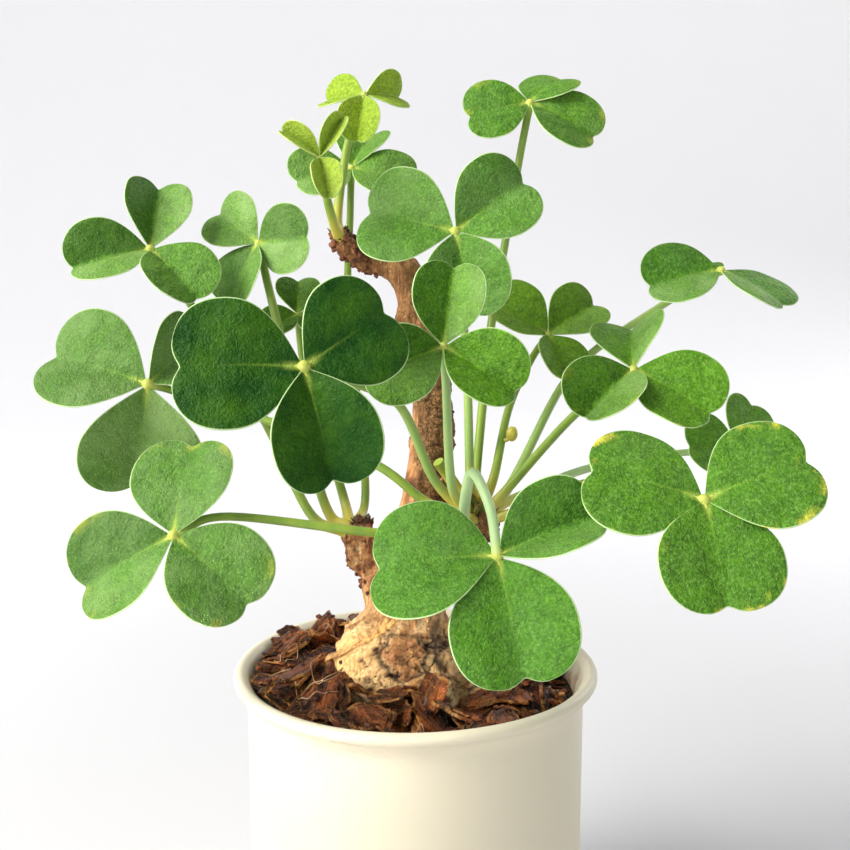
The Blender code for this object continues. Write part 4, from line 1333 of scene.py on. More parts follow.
def build_rootlets(mulch):
    """Fine pale fibres lying over the flakes."""
    draw = random.Random(mulch.seed + 5)
    surface = surface_of("bark_flakes", "bark_crumbs")
    fibres = []
    for _ in range(mulch.rootlets):
        around = draw.uniform(0, 2 * math.pi)
        place = Vector(on_circle(draw.uniform(*ROOTLET_REACH), around))
        heading = draw.uniform(0, 2 * math.pi)
        turn = draw.uniform(-0.5, 0.5)
        points = []
        for _ in range(ROOTLET_STEPS):
            hit = surface.ray_cast(Vector((place.x, place.y, ABOVE_MULCH)), -UP)[0]
            if hit is None or place.length > ROOTLET_LIMIT:
                break
            points.append((hit.x, hit.y, hit.z + ROOTLET_LIFT[0] + ROOTLET_LIFT[1] * draw.random()))
            heading += turn + draw.uniform(-0.5, 0.5)
            place += Vector(on_circle(1.0, heading)) * ROOTLET_STEP
        if len(points) > 3:
            route = smooth_route(points, 4 * len(points))
            thick = draw.uniform(*ROOTLET_RADIUS) * MM
            radii = [thick * (1 - 0.5 * index / len(route)) for index in range(len(route))]
            fibres.append(tube(route, radii, 1))
    finish_piece(join(fibres), "rootlets", [pale_fibre()])


# Woody stem

# Where each kind of bark starts and ends, in millimetres across and up
CAUDEX_END = (68.0, 75.0)
BRANCH_SIDE = (-6.2, -4.8)
BRANCH_FOOT = (74.0, 77.0)
BRANCH_TOP = (116.0, 120.0)
TWIG_SIDE = (-8.0, -5.5)
TWIG_FOOT = (120.0, 124.0)
CROWN_SIDE = (4.5, 6.5)
CROWN_FOOT = (82.0, 86.0)
CROWN_TOP = (100.0, 104.0)
CORK_FOOT = (82.0, 90.0)
CORK_TOP = (112.0, 119.0)
# Heights where the cork spreads to the left, where it swells, where the branch gets thinner, where the
# top gets browner and where its bark turns corky
CORK_SPREAD = (88.0, 102.0)
CORK_SWELL = (90.0, 97.0)
BRANCH_THIN = (78.0, 84.0)
BROWN_TOP = (113.0, 124.0)
CORKY_TOP = (112.0, 118.0)
# How much wider than high the cork's small scales are, and how wide
SCALE_STRETCH = 1.25
SCALE_WIDTH = 1.15
# The swollen base: its crumbly patch's middle, how the patch is stretched, its edge from the middle out,
# the smooth bulge's middle, the low zone by the mulch, and the foot, middle and half width of its cleft
PATCH_MIDDLE = (-0.8, -14.0, 67.9)
PATCH_STRETCH = (0.75, 0.5, 1.0)
PATCH_EDGE = (3.2, 3.7)
PATCH_RIM = 3.9
BULGE_MIDDLE = (-12.0, -9.0, 65.0)
LOW_ZONE = (61.5, 64.0)
CLEFT_FOOT = (62.0, 65.0)
CLEFT_SIDE = 4.0
CLEFT_WIDTH = 0.6
# Knobs where old branches broke off: place across, height and width in millimetres
STEM_KNOBS = ((-0.4, 95.6, 1.3), (-4.6, 124.0, 1.2))
# Loose bark on the swollen base: compass angle, height, width and length in millimetres, the lift of its
# free end, and how far it slants
PEELS = (
    (231, 69.6, 1.3, 8.4, 1.5, -1.55),
    (224, 69.0, 0.9, 7.4, 0.9, -1.30),
    (345, 68.5, 3.5, 4.5, 0.9, 0.20),
    (150, 67.0, 6.0, 6.0, 1.2, 0.30),
    (60, 67.5, 5.0, 5.5, 1.0, -0.25),
)
# The swollen base's middle, its radius, and how far from the middle the search for its bark starts
BASE_MIDDLE = (-0.0017, -0.0027)
BASE_RADIUS = 0.0125
OUTSIDE_BASE = 0.03
PEEL_THICKNESS = 0.14
# Old stalk bases: the start of their draw, how many places are tried, how close two may stand, their
# width in millimetres, their height as a share of it, and the height above which their tips are black
SCAR_SEED = 31
SCAR_TRIES = 12000
SCAR_GAP = 0.00085
SCAR_WIDTH = (0.5, 1.15)
SCAR_HEIGHT = (0.7, 1.3)
BLACK_TIPS = 0.0895


def crackle(point, width):
    """How deep in a crack a point is, where the bark breaks in small scales, and which scale it is on."""
    distances, centres = noise.voronoi(point / width)
    return 1.0 - smoothstep(0.02, 0.22, distances[1] - distances[0]), noise.cell(centres[0] * 3.7)


def caudex_bark(point):
    """The swollen base: torn papery sheets over crumbly inner bark."""
    x, _, z = point
    warp = Vector((noise.noise(point * 0.3), noise.noise(point * 0.3 + Vector((7, 0, 0))), 0.0)) * 1.8
    field = noise.fractal((point + warp) * 0.15 + Vector((0.0, 0.0, 4.3)), *FIRM)
    from_patch = [(at - middle) * stretch for at, middle, stretch in zip(point, PATCH_MIDDLE, PATCH_STRETCH)]
    heart = Vector(from_patch).length + 1.6 * field
    bare = 1.0 - smoothstep(*PATCH_EDGE, heart)
    rim = bell((heart - PATCH_RIM) / 0.35)
    low = 1.0 - smoothstep(*LOW_ZONE, z + 3.0 * field)
    bulge = math.exp(-sum((at - middle) ** 2 for at, middle in zip(point, BULGE_MIDDLE)) / 30.0)
    field += 0.5 * bulge - 0.25 * low
    sheet = smoothstep(-0.025, 0.025, field + 0.10) * (1.0 - bare)
    torn = bell((field + 0.14) / 0.045) * (1.0 - bare)
    crumb = noise.fractal(point * 0.9, 0.7, 2.0, 5)
    seam = noise.fractal((point + warp) * 0.20 + Vector((3.0, 5.0, 1.0)), 0.9, 2.0, 3)
    crack = bell(seam / 0.020) * (1.0 - 0.8 * bulge)
    lump = 1.1 * noise.noise(point * 0.15) + 0.9 * noise.noise(point * 0.30) + 2.4 * bulge
    torn_layers = noise.fractal((point + warp) * 0.32 + Vector((9.0, 2.0, 6.0)), 0.8, 2.1, 4) * 5.0
    ledge = math.floor(torn_layers) + smoothstep(0.0, 0.25, torn_layers - math.floor(torn_layers))
    height = lump + 0.55 * sheet + 0.30 * bare - 0.55 * rim - 0.55 * crack + 0.20 * ledge * (1.0 - bulge)
    height += (1.0 - sheet) * 0.28 * crumb + sheet * 0.12 * crumb + bare * 0.30 * crumb
    brown = sheet * (0.10 + 0.24 * crumb) + (1.0 - sheet) * (0.22 + 0.30 * crumb)
    # Darker to the right: partly darker bark, partly painted shade on the side away from the key light
    brown += 0.50 * smoothstep(3.5, 6.5, x) - 0.12 * bulge
    stain = noise.noise(point * 0.42 + Vector((2.0, 8.0, 5.0)))
    brown += 0.55 * smoothstep(0.05, 0.35, stain) * (1.0 - bulge)
    from_cleft = x - CLEFT_SIDE - 0.25 * (70.0 - z) + 2.0 * field
    cleft = bell(from_cleft / CLEFT_WIDTH) * smoothstep(*CLEFT_FOOT, z)
    # Painted shade: darker under the torn sheet edges, in the cracks, round the bare patch, in the low crumbs
    # and along a cleft that has no relief of its own
    groove_shade = 0.80 * torn + 0.95 * crack + 0.85 * rim + 0.95 * cleft
    groove_shade += (1.0 - sheet) * 0.30 * smoothstep(0.15, 0.5, -crumb)
    pale = (1.0 - sheet) * (0.4 + 0.6 * low) * (1.0 - bare) * (0.75 + 0.9 * crumb)
    return height, brown, min(groove_shade, 1.0), pale, bulge * (1.0 - bare), bare


def bark_at(place):
    """The bark's relief in millimetres at a point, how brown it is, how much painted shade lies in its cracks
    and hollows, how crumbly it is, and its kinds.
    """
    point = Vector(place) / MM
    x, y, z = point
    caudex = 1.0 - smoothstep(*CAUDEX_END, z)
    branch = (1.0 - smoothstep(*BRANCH_SIDE, x)) * smoothstep(*BRANCH_FOOT, z)
    branch *= 1.0 - smoothstep(*BRANCH_TOP, z)
    twig = (1.0 - smoothstep(*TWIG_SIDE, x)) * smoothstep(*TWIG_FOOT, z)
    crown = smoothstep(*CROWN_SIDE, x) * smoothstep(*CROWN_FOOT, z) * (1.0 - smoothstep(*CROWN_TOP, z))
    knobbly = max(branch, twig, 0.7 * crown)
    side = x - read_table(STEM_AXIS, z * MM) / MM
    wander = noise.noise(point * 0.22)
    rough = smoothstep(-0.9, 0.9, side + 3.6 * smoothstep(*CORK_SPREAD, z) - 1.0 + 1.6 * wander)
    rough *= smoothstep(*CORK_FOOT, z) * (1.0 - smoothstep(*CORK_TOP, z + 3 * wander)) * (1.0 - knobbly)
    streak = noise.fractal(Vector((x, y, z * 0.22)) * 1.1, *FIRM)
    pebble = noise.fractal(point * 0.9, *COARSE)
    jitter = Vector((0.5, 0.3, 0.4)) * pebble
    crack, scale = crackle(Vector((x, y, z * SCALE_STRETCH)) + jitter, SCALE_WIDTH)
    height = 0.16 * streak + rough * (0.10 + 0.14 * scale + 0.30 * pebble - 0.16 * crack)
    height += 0.50 * smoothstep(0.35, 0.70, rough) * smoothstep(*CORK_SWELL, z)
    height += knobbly * (0.34 * pebble - 0.12 * crack) - branch * (0.35 + 0.65 * smoothstep(*BRANCH_THIN, z))
    brown = 0.30 + 0.30 * streak + rough * (0.28 + 0.08 * scale)
    brown += knobbly * (0.26 - 0.14 * branch + 0.34 * pebble)
    brown += 0.18 * smoothstep(*BROWN_TOP, z) * (1.0 - twig)
    for knob_x, knob_z, knob_width in STEM_KNOBS:
        knob = math.exp(-(((x - knob_x) / knob_width) ** 2) - ((z - knob_z) / knob_width) ** 2)
        brown += 0.6 * knob
        if y < -3.0 or knob_z > 100.0:
            height += 0.9 * knob
    # Painted shade in the cracks between the scales, in the low pebbles and in the low streaks
    groove_shade = rough * 0.35 * crack + knobbly * (0.40 * crack + 0.4 * smoothstep(0.1, 0.5, -pebble))
    groove_shade += 0.5 * smoothstep(0.25, 0.55, -streak) * (1.0 - rough) * (1.0 - knobbly)
    found = (height, brown, groove_shade, 0.0, 0.0, 0.0)
    if caudex > 0.0:
        found = [above + (under - above) * caudex for above, under in zip(found, caudex_bark(point))]
    height, brown, groove_shade, crumbly, straw, bare = found
    marks = [min(max(value, 0.0), 1.0) for value in (brown, groove_shade, crumbly)]
    cork = max(rough, 0.5 * smoothstep(*CORKY_TOP, z)) * (1.0 - 0.6 * knobbly)
    return height, (*marks, 1.0), (cork, caudex * (1.0 - straw), straw, bare)


def build_stem(stem):
    """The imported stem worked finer, with its bark as relief."""
    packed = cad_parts["trunk"]
    made = copy_with_mesh(packed, "fine_stem", packed.matrix_world)
    with all_selected(made):
        bpy.ops.mesh.remove_doubles(threshold=WELD)
    apply_modifier(made, "REMESH", mode="VOXEL", voxel_size=stem.voxel, use_smooth_shade=True)
    apply_modifier(made, "SMOOTH", factor=0.5, iterations=12)
    normals = [vertex.normal.copy() for vertex in made.data.vertices]
    marks, kinds = [], []
    for vertex, normal in zip(made.data.vertices, normals):
        height, shades, kind = bark_at(vertex.co)
        vertex.co += normal * height * MM
        marks.append(shades)
        kinds.append(kind)
    set_marks(made.data, "bark_marks", marks)
    set_marks(made.data, "bark_kinds", kinds)
    apply_modifier(made, "SMOOTH", factor=0.3, iterations=1)
    finish_piece(made, "woody_stem", [stem_bark(stem)], ["trunk"])


def build_peels(stem):
    """Thin sheets of outer bark that follow the swollen base and lift off at one end."""
    surface = surface_of("woody_stem")
    sheets = []
    for number, (compass, height, width, length, lift, slant) in enumerate(PEELS):
        sheet = added(bpy.ops.mesh.primitive_grid_add, x_subdivisions=18, y_subdivisions=16, size=2)
        for vertex in sheet.data.vertices:
            u, v = vertex.co.x, vertex.co.y
            ragged = 1 + 0.35 * noise.noise(Vector((u * 1.7, v * 1.7, number * 5.0)))
            ragged += 0.14 * noise.noise(Vector((u * 5, v * 5, number * 9.0)))
            rounding = math.sqrt(1 - 0.6 * v * v) * ragged
            down = (v + 1) / 2
            z = (height + length * (0.5 - down) * ragged) * MM
            across = 0.5 * width * u * rounding + slant * length * (down - 0.5)
            angle = math.radians(compass) + across * MM / BASE_RADIUS
            outward = Vector((*on_circle(1.0, angle), 0.0))
            start = Vector((*BASE_MIDDLE, z)) + outward * OUTSIDE_BASE
            hit, normal, _, _ = surface.ray_cast(start, -outward)
            if hit is None:
                hit, normal = start - outward * 0.018, outward
            wave = 0.12 + 0.10 * noise.noise(Vector((u * 3, v * 3, number)))
            curl = lift * down**2.5 * (1 - 0.35 * abs(u)) + wave
            vertex.co = hit + (outward * 0.8 + normal * 0.2) * curl * MM
        apply_modifier(sheet, "SMOOTH", factor=0.5, iterations=2)
        apply_modifier(sheet, "SOLIDIFY", thickness=PEEL_THICKNESS * MM, offset=1.0, use_even_offset=False)
        sheets.append(sheet)
    made = join(sheets)
    with all_selected(made):
        bpy.ops.mesh.normals_make_consistent(inside=False)
    finish_piece(made, "bark_peels", [papery_bark(stem)], angle=50)


def model_scar():
    """An old stalk base: a lumpy bead with a sunken tip. One unit wide."""
    made = added(bpy.ops.mesh.primitive_ico_sphere_add, subdivisions=2, radius=0.5)
    for vertex in made.data.vertices:
        x, y, z = vertex.co
        narrow = 1.0 - 0.25 * smoothstep(0.20, 0.45, z)
        wave = 1 + 0.30 * noise.noise(vertex.co * 3.0)
        dimple = 0.22 * smoothstep(0.40, 0.49, z)
        vertex.co = (x * narrow * wave, y * narrow * wave, z * 1.15 * wave - dimple)
    return made


def scar_wanted(place):
    """How densely old stalk bases stand at a point of the stem."""
    x, y, z = (value / MM for value in place)
    if z > 122.0 and x < -7.5:
        return 1.0
    if z > 124.0 and x < -5.0:
        return 0.15
    if x < -6.5 and 86.5 < z < 92.0:
        return 0.9
    if x < -5.5 and 75.0 < z < 92.0:
        return 0.12
    if x > 4.5 and 84.0 < z < 96.0 and y < -5.0:
        return 0.4
    return 0.006 if z > 76.0 else 0.0


def build_scars(stem):
    """Old stalk bases crowded on the young wood."""
    draw = random.Random(SCAR_SEED)
    wood = bpy.data.objects["woody_stem"].data
    model = model_scar()
    heights = [smoothstep(0.18, 0.42, vertex.co.z) for vertex in model.data.vertices]
    placed = []
    stubs = []
    for _ in range(SCAR_TRIES):
        if len(placed) >= stem.scars:
            break
        vertex = wood.vertices[draw.randrange(len(wood.vertices))]
        if draw.random() > scar_wanted(vertex.co):
            continue
        if any((vertex.co - other).length < SCAR_GAP for other in placed):
            continue
        placed.append(vertex.co.copy())
        size = draw.uniform(*SCAR_WIDTH) * MM
        upward = (vertex.normal + Vector((0, 0, 0.35))).normalized()
        turn = UP.rotation_difference(upward).to_matrix().to_4x4()
        turn = Matrix.Translation(vertex.co + upward * 0.12 * size) @ turn
        spin = Matrix.Rotation(draw.uniform(0, ANY_TURN), 4, "Z")
        stretch = Matrix.Diagonal((size, size, size * draw.uniform(*SCAR_HEIGHT), 1.0))
        stub = copy_with_mesh(model, "stub", turn @ spin @ stretch)
        tone = draw.random()
        black = draw.uniform(0.0, 1.0) ** (1.0 if vertex.co.z > BLACK_TIPS else 3.0)
        set_marks(stub.data, "scar_marks", [(tone, black * height, 0.0, 1.0) for height in heights])
        stubs.append(stub)
    remove(model)
    finish_piece(join(stubs), "stalk_scars", [dead_stalk_base()], angle=60)


# Leaves

# The joint's radius, the leaf length that it belongs to, how far its ribs run into the leaflets as a share
# of their length, the ribs' radii at start and end, and the width of its finest faces
HUB_RADIUS = 0.00098
FULL_LENGTH = 0.0165
HUB_REACH = 0.11
HUB_RIB = (0.00050, 0.00010)
HUB_STEPS = 7
HUB_GRAIN = 0.00014
OUTLINE_STEPS = 80


def curve_point(a, b, c, d, t):
    """A point of a curve from a to d that b and c pull to themselves, at share t of the way."""
    s = 1.0 - t
    return [s**3 * p + 3 * s * s * t * q + 3 * s * t * t * r + t**3 * e for p, q, r, e in zip(a, b, c, d)]


def margin_point(row):
    """The side of a half blade, from its base at row 0 to the top of its lobe at row 1."""
    if row < WIDEST_ROW:
        return curve_point(LEAFLET_START, LEAFLET_FLANK, LEAFLET_SHOULDER, LEAFLET_WIDEST, row / WIDEST_ROW)
    share = (row - WIDEST_ROW) / (1.0 - WIDEST_ROW)
    return curve_point(LEAFLET_WIDEST, LEAFLET_CORNER, LOBE_TURN, LEAFLET_LOBE, share)


def blade_point(row, column):
    """A place on the flat blade, along and across. Column runs from -1 to 1, from margin to margin."""
    side = abs(column)
    root = LEAFLET_START[0] + (LEAFLET_NOTCH - LEAFLET_START[0]) * row
    edge = margin_point(row)
    bulge = NOTCH_BULGE * math.sin(math.pi * side) * row**4
    along = root + (edge[0] - root) * side + bulge
    return along, math.copysign(edge[1] * side, column)


def midrib_direction(leaflet):
    clock = math.radians(leaflet[0])
    tilt = math.radians(leaflet[1])
    return Vector((math.cos(tilt) * math.cos(clock), -math.sin(tilt), math.cos(tilt) * math.sin(clock)))


def leaf_normal(leaf):
    """The way a leaf faces: square to the plane through its three leaflets' tips."""
    first, second, third = (midrib_direction(leaflet) for leaflet in leaf.leaflets)
    normal = (second - first).cross(third - first).normalized()
    return normal if normal.y < 0 else -normal


def leaflet_frame(leaf, leaflet):
    """The directions along the midrib, to its left and out of its upper face."""
    forward = midrib_direction(leaflet)
    facing = leaf_normal(leaf)
    upper = (facing - forward * facing.dot(forward)).normalized()
    left = upper.cross(forward)
    roll = math.radians(leaflet[3])
    turned_left = left * math.cos(roll) + upper * math.sin(roll)
    turned_upper = upper * math.cos(roll) - left * math.sin(roll)
    return forward, turned_left, turned_upper


def nearest_of(places):
    """A search for the nearest of some places."""
    near = kdtree.KDTree(len(places))
    for index, place in enumerate(places):
        near.insert(place, index)
    near.balance()
    return near


def model_leaflet(settings):
    """One flat leaflet with its notched tip, one unit long, with its distances from margin and midrib."""
    grid = {"x_subdivisions": settings.rows, "y_subdivisions": settings.columns, "size": 2}
    made = added(bpy.ops.mesh.primitive_grid_add, **grid)
    steps = [step / OUTLINE_STEPS for step in range(OUTLINE_STEPS + 1)]
    outline = [blade_point(step, side) for step in steps for side in (-1.0, 1.0)]
    outline += [blade_point(1.0, 2 * step - 1.0) for step in steps]
    near = nearest_of([(along, across, 0.0) for along, across in outline])
    marks = []
    for vertex in made.data.vertices:
        along, across = blade_point((vertex.co.x + 1) / 2, vertex.co.y)
        vertex.co = (along, across, 0.0)
        marks.append((near.find(vertex.co)[2], abs(across), along, 1.0))
    set_marks(made.data, "leaf_marks", marks)
    return made


def bend_leaflet(model, leaf, leaflet, number):
    """A copy of the flat leaflet, folded at its midrib, arched and set on its hub."""
    made = copy_with_mesh(model, "leaflet")
    forward, left, upper = leaflet_frame(leaf, leaflet)
    fold = math.radians(leaflet[2])
    length = leaf.length * leaflet[4]
    for vertex in made.data.vertices:
        along, across = vertex.co.x, vertex.co.y
        off_midrib = math.sqrt(across * across + CREASE * CREASE) - CREASE
        rise = off_midrib * math.sin(fold) - HALF_CUP * across * across
        rise += 4 * MIDRIB_ARCH * along * (LEAFLET_NOTCH - along)
        wave = noise.noise(Vector((along * WAVE_COUNT, across * WAVE_COUNT, number * 7.7)))
        rise += WAVE_RISE * wave * min(1.0, 2.0 * abs(across) + 0.3 * along)
        offset = forward * along + left * (across * math.cos(fold)) + upper * rise
        vertex.co = Vector(leaf.hub) + offset * length
    marks = get_marks(made.data, "leaf_marks")
    marks[:, 0:2] *= length / MM
    # The halves' painted light: a pale painted sheen on the frosted half and painted shade on the bare one
    angle, first, second = PAINTED_HALF_LIGHT.get(divmod(number, 3), (0, 0.5, 0.5))
    clock = math.radians(angle)
    side = 1.0 if left.x * math.cos(clock) + left.z * math.sin(clock) > 0.0 else -1.0
    for index, vertex in enumerate(model.data.vertices):
        share = smoothstep(-HALF_BLEND, HALF_BLEND, side * vertex.co.y)
        marks[index, 3] = second + (first - second) * share
    set_marks(made.data, "leaf_marks", marks)
    return made


def model_hub(leaf):
    """The joint of a leaf: a small cushion with a short rib running into each leaflet."""
    scale = min(1.0, leaf.length / FULL_LENGTH)
    sphere = {"subdivisions": 3, "radius": HUB_RADIUS * scale, "location": leaf.hub}
    parts = [added(bpy.ops.mesh.primitive_ico_sphere_add, **sphere)]
    bpy.ops.object.transform_apply(location=True)
    thick, thin = HUB_RIB
    radii = [(thick - (thick - thin) * index / (HUB_STEPS - 1)) * scale for index in range(HUB_STEPS)]
    start = Vector(leaf.hub)
    reach = HUB_REACH * leaf.length
    arch = 4 * MIDRIB_ARCH * HUB_REACH * 0.85 * leaf.length
    for leaflet in leaf.leaflets:
        forward, _, upper = leaflet_frame(leaf, leaflet)
        tip = start + forward * reach + upper * arch
        points = [start, start + forward * reach * 0.5 + upper * arch * 0.6, tip]
        parts.append(tube(smooth_route([tuple(point) for point in points], HUB_STEPS), radii))
    made = join(parts)
    apply_modifier(made, "REMESH", mode="VOXEL", voxel_size=HUB_GRAIN, use_smooth_shade=True)
    apply_modifier(made, "SMOOTH", factor=0.5, iterations=5)
    return made


def build_leaves(settings):
    """Every leaf's three leaflets and hub, one piece a leaf."""
    model = model_leaflet(settings)
    finishes = [leaf_face(settings), leaf_back(), leaf_margin(), leaf_hub()]
    shell = {"thickness": settings.thickness, "offset": 0.0, "use_even_offset": True}
    for number, leaf in enumerate(LEAVES, start=1):
        numbered = enumerate(leaf.leaflets, start=3 * number)
        blades = join([bend_leaflet(model, leaf, leaflet, place) for place, leaflet in numbered])
        set_materials(blades, finishes)
        apply_modifier(blades, "SOLIDIFY", material_offset=1, material_offset_rim=2, **shell)
        apply_modifier(blades, "SUBSURF", levels=1, render_levels=1)
        hub = model_hub(leaf)
        set_materials(hub, finishes[3:])
        made = join([blades, hub])
        set_marks(made.data, "leaf_tint", [leaf.tint] * len(made.data.vertices))
        finish_piece(made, f"leaf_{number:02d}_leaflets", (), [f"leaf_{number:02d}_blade"])
    remove(model)


# Stalks

STALK_FOOT_RADIUS = 0.00075
STALK_HEAD_RADIUS = 0.00060
# The swellings at foot and head: radius added, and the length over which it fades
FOOT_SWELLING = (0.00042, 0.0022)
HEAD_SWELLING = (0.00012, 0.0012)
STALK_POINTS = 40
# How far a stalk's foot lies under the bark, and how far its head is from the hub's middle
FOOT_DEPTH = 0.0006
HEAD_GAP = 0.0003
# How pale a leaf's stalk is, from 0 to 1, and how thick, where it isn't as the rest of its crown
PALE_STALKS = {10: 1.0, 7: 0.2, 12: 0.7, 15: 0.25, 17: 0.25, 18: 0.45}
THICK_STALKS = {10: 1.28, 3: 1.1, 1: 1.1, 2: 1.1}
LEFT_THICKNESS = 1.22
THICKNESS = 1.08
CUT_THICKNESS = 1.3
# The distance in millimetres to a head that isn't there
NO_HEAD = 9.0
# Groups of small scales: the middle of each, how many, how high in millimetres, how far they spread and
# how dry they are
SCALE_GROUPS = (
    ((0.0100, -0.0118, 0.0925), 16, (2.0, 3.4), 0.0038, 0.15),
    ((-0.0128, 0.0012, 0.1385), 9, (0.9, 1.6), 0.0020, 0.8),
    ((-0.0095, 0.0018, 0.0872), 60, (0.7, 1.5), 0.0029, 1.0),
)
SCALE_SEED = 17
BUD_ROUTE = ((0.0150, -0.0038, 0.1032), (0.0160, -0.0042, 0.1036), (0.0168, -0.0042, 0.1046))
BUD_RADIUS = 0.00105
BUD_NECK = (0.00042, 0.00001)


def stalk_radius(from_foot, to_head):
    """A stalk's radius: swollen at its foot, slim along its run, thicker again under the hub."""
    share = from_foot / (from_foot + to_head)
    radius = STALK_FOOT_RADIUS + (STALK_HEAD_RADIUS - STALK_FOOT_RADIUS) * share
    for (swelling, fade), away in ((FOOT_SWELLING, from_foot), (HEAD_SWELLING, to_head)):
        radius += swelling * math.exp(-away / fade)
    return radius


def stalk_piece(points, paleness, thickness, cut=False):
    """A smooth stalk through its points."""
    route = [Vector(place) for place in smooth_route(points, STALK_POINTS)]
    lengths = [0.0]
    for before, after in zip(route, route[1:]):
        lengths.append(lengths[-1] + (after - before).length)
    total = lengths[-1]
    radii = [thickness * stalk_radius(length, 1.0 if cut else total - length) for length in lengths]
    made = tube(route, radii, 3)
    near = nearest_of(route)
    marks = []
    for vertex in made.data.vertices:
        length = lengths[near.find(vertex.co)[1]]
        foot = length / MM * (0.75 if cut else 1.0)
        marks.append((foot, NO_HEAD if cut else (total - length) / MM, paleness, 1.0))
    set_marks(made.data, "stalk_marks", marks)
    return made


def stalk_foot(surface, crown, towards):
    """A point just under the crown's bark, on the line from its middle to the stalk's first point."""
    centre = Vector(CROWNS[crown])
    outside = Vector(towards)
    inward = (centre - outside).normalized()
    touched = surface.ray_cast(outside, inward)[0] or centre
    return tuple(touched + inward * FOOT_DEPTH)


def build_stalks(settings):
    finish = green_stalk(settings)
    surface = surface_of("woody_stem")
    for number, leaf in enumerate(LEAVES, start=1):
        hub = Vector(leaf.hub)
        back = (Vector(leaf.route[-1]) - hub).normalized()
        points = [stalk_foot(surface, leaf.crown, leaf.route[0]), *leaf.route, tuple(hub + back * HEAD_GAP)]
        thickness = THICK_STALKS.get(number, LEFT_THICKNESS if leaf.crown == "left" else THICKNESS)
        made = stalk_piece(points, PALE_STALKS.get(number, 0.0), thickness)
        nodes = [f"leaf_{number:02d}_stalk"]
        finish_piece(made, f"leaf_{number:02d}_petiole", [finish], nodes, angle=60)
    points = [stalk_foot(surface, "right", CUT_STALK_ROUTE[0]), *CUT_STALK_ROUTE]
    made = stalk_piece(points, 0.0, CUT_THICKNESS, cut=True)
    finish_piece(made, "cut_stalk_end", [finish], ["cut_stalk"], angle=60)


def model_scale():
    """A small pointed scale, one unit high, hollow to the front."""
    made = added(bpy.ops.mesh.primitive_grid_add, x_subdivisions=6, y_subdivisions=8, size=2)
    marks = []
    for vertex in made.data.vertices:
        side, height = vertex.co.x, (vertex.co.y + 1) / 2
        width = 0.34 * math.sin(math.pi * (0.22 + 0.78 * height)) + 0.02
        bow = 0.30 * height * height - 0.18 * height
        vertex.co = (side * width, bow + 0.20 * side * side * (1 - height), height)
        marks.append((height, 0.0, 0.0, 1.0))
    set_marks(made.data, "scale_marks", marks)
    apply_modifier(made, "SOLIDIFY", thickness=0.07, offset=0.0)
    return made


def build_scales():
    """Dry and green scales crowded round the foot of the stalks."""
    draw = random.Random(SCALE_SEED)
    surface = surface_of("woody_stem")
    model = model_scale()
    scales = []
    for middle, count, heights, spread, dryness in SCALE_GROUPS:
        for number in range(count):
            around = 2 * math.pi * ((number * GOLDEN_TURN) % 1.0)
            out = Vector((*on_circle(1.0, around), draw.uniform(-0.35, 0.9))).normalized()
            touched = surface.ray_cast(Vector(middle) + out * spread * 2.2, -out)[0]
            if touched is None:
                continue
            upward = (out * draw.uniform(0.5, 0.9) + UP).normalized()
            across = upward.cross(out).normalized()
            turn = turned_to(across, across.cross(upward), upward)
            size = draw.uniform(*heights) * MM
            place = Matrix.Translation(touched - out * 0.0003) @ turn @ Matrix.Scale(size, 4)
            scale = copy_with_mesh(model, "scale", place)
            change_marks(scale.data, "scale_marks", {1: draw.random(), 2: dryness})
            scales.append(scale)
    remove(model)
    finish_piece(join(scales), "crown_scales", [bud_scale()], angle=60)


def build_bud():
    """A small yellow bud on a short bent stalk."""
    count = 10
    thick, taper = BUD_NECK
    neck = tube(smooth_route(BUD_ROUTE, count), [thick - taper * index for index in range(count)])
    middle = Vector(BUD_ROUTE[-1])
    sphere = {"segments": 16, "ring_count": 10, "radius": BUD_RADIUS, "location": middle}
    bud = added(bpy.ops.mesh.primitive_uv_sphere_add, **sphere)
    bpy.ops.object.transform_apply(location=True)
    for vertex in bud.data.vertices:
        offset = vertex.co - middle
        offset.z *= 1.25
        offset *= 1 + 0.10 * noise.noise(offset / 0.0007)
        vertex.co = middle + offset
    made = join([neck, bud])
    set_marks(made.data, "stalk_marks", [(0.5, NO_HEAD, 0.0, 1.0)] * len(made.data.vertices))
    finish_piece(made, "yellow_bud", [bpy.data.materials["green stalk"]])


# Stage

CAMERA_PLACE = (0.0017, -0.1985, 0.1350)
CAMERA_TILT = 81.55
SENSOR_WIDTH = 36.0
NEAREST_SEEN = 0.005
BACKDROP_RADIUS = 0.7
# Each light's name, the setting that holds its power, its place and target, its width, its spread in
# degrees and its colour
LIGHTS = (
    ("window", "key", (-0.66, -0.30, 0.66), (0.0, 0.0, 0.10), 0.60, 180, "#fffdf8"),
    ("fill", "fill", (0.70, -0.50, 0.30), (0.0, 0.0, 0.10), 0.60, 180, "#f6f8ff"),
    ("low light", "low", (-0.42, -0.62, 0.16), (0.0, 0.0, 0.07), 0.30, 180, "#fffaf0"),
    ("narrow light", "narrow", (-0.40, -0.34, 0.10), (-0.003, -0.010, 0.070), 0.03, 5, "#fff4e0"),
    ("floor light", "floor", (0.55, 0.50, 0.45), (0.15, 0.15, 0.0), 0.45, 180, "#fbfbff"),
    ("wall wash", "wash", (-0.15, 0.45, 1.05), (0.1, 1.10, 0.15), 0.70, 180, "#fbfbff"),
)
SKY_COLOUR = "#f7f8fb"


def build_backdrop(stage):
    """A round floor that sweeps up all round the plant."""
    flat = [(0.0, 0.0), (BACKDROP_RADIUS / 2, 0.0), (BACKDROP_RADIUS, 0.0)]
    sweep = arc((BACKDROP_RADIUS, BACKDROP_RADIUS), BACKDROP_RADIUS, -83, 7, 12)
    made = spin_profile([*flat, *sweep], 64)
    if made.data.polygons[0].normal.z < 0:
        made.data.flip_normals()
    shade_smooth(made, None)
    made.name = "backdrop"
    set_materials(made, [backdrop_paper(stage)])


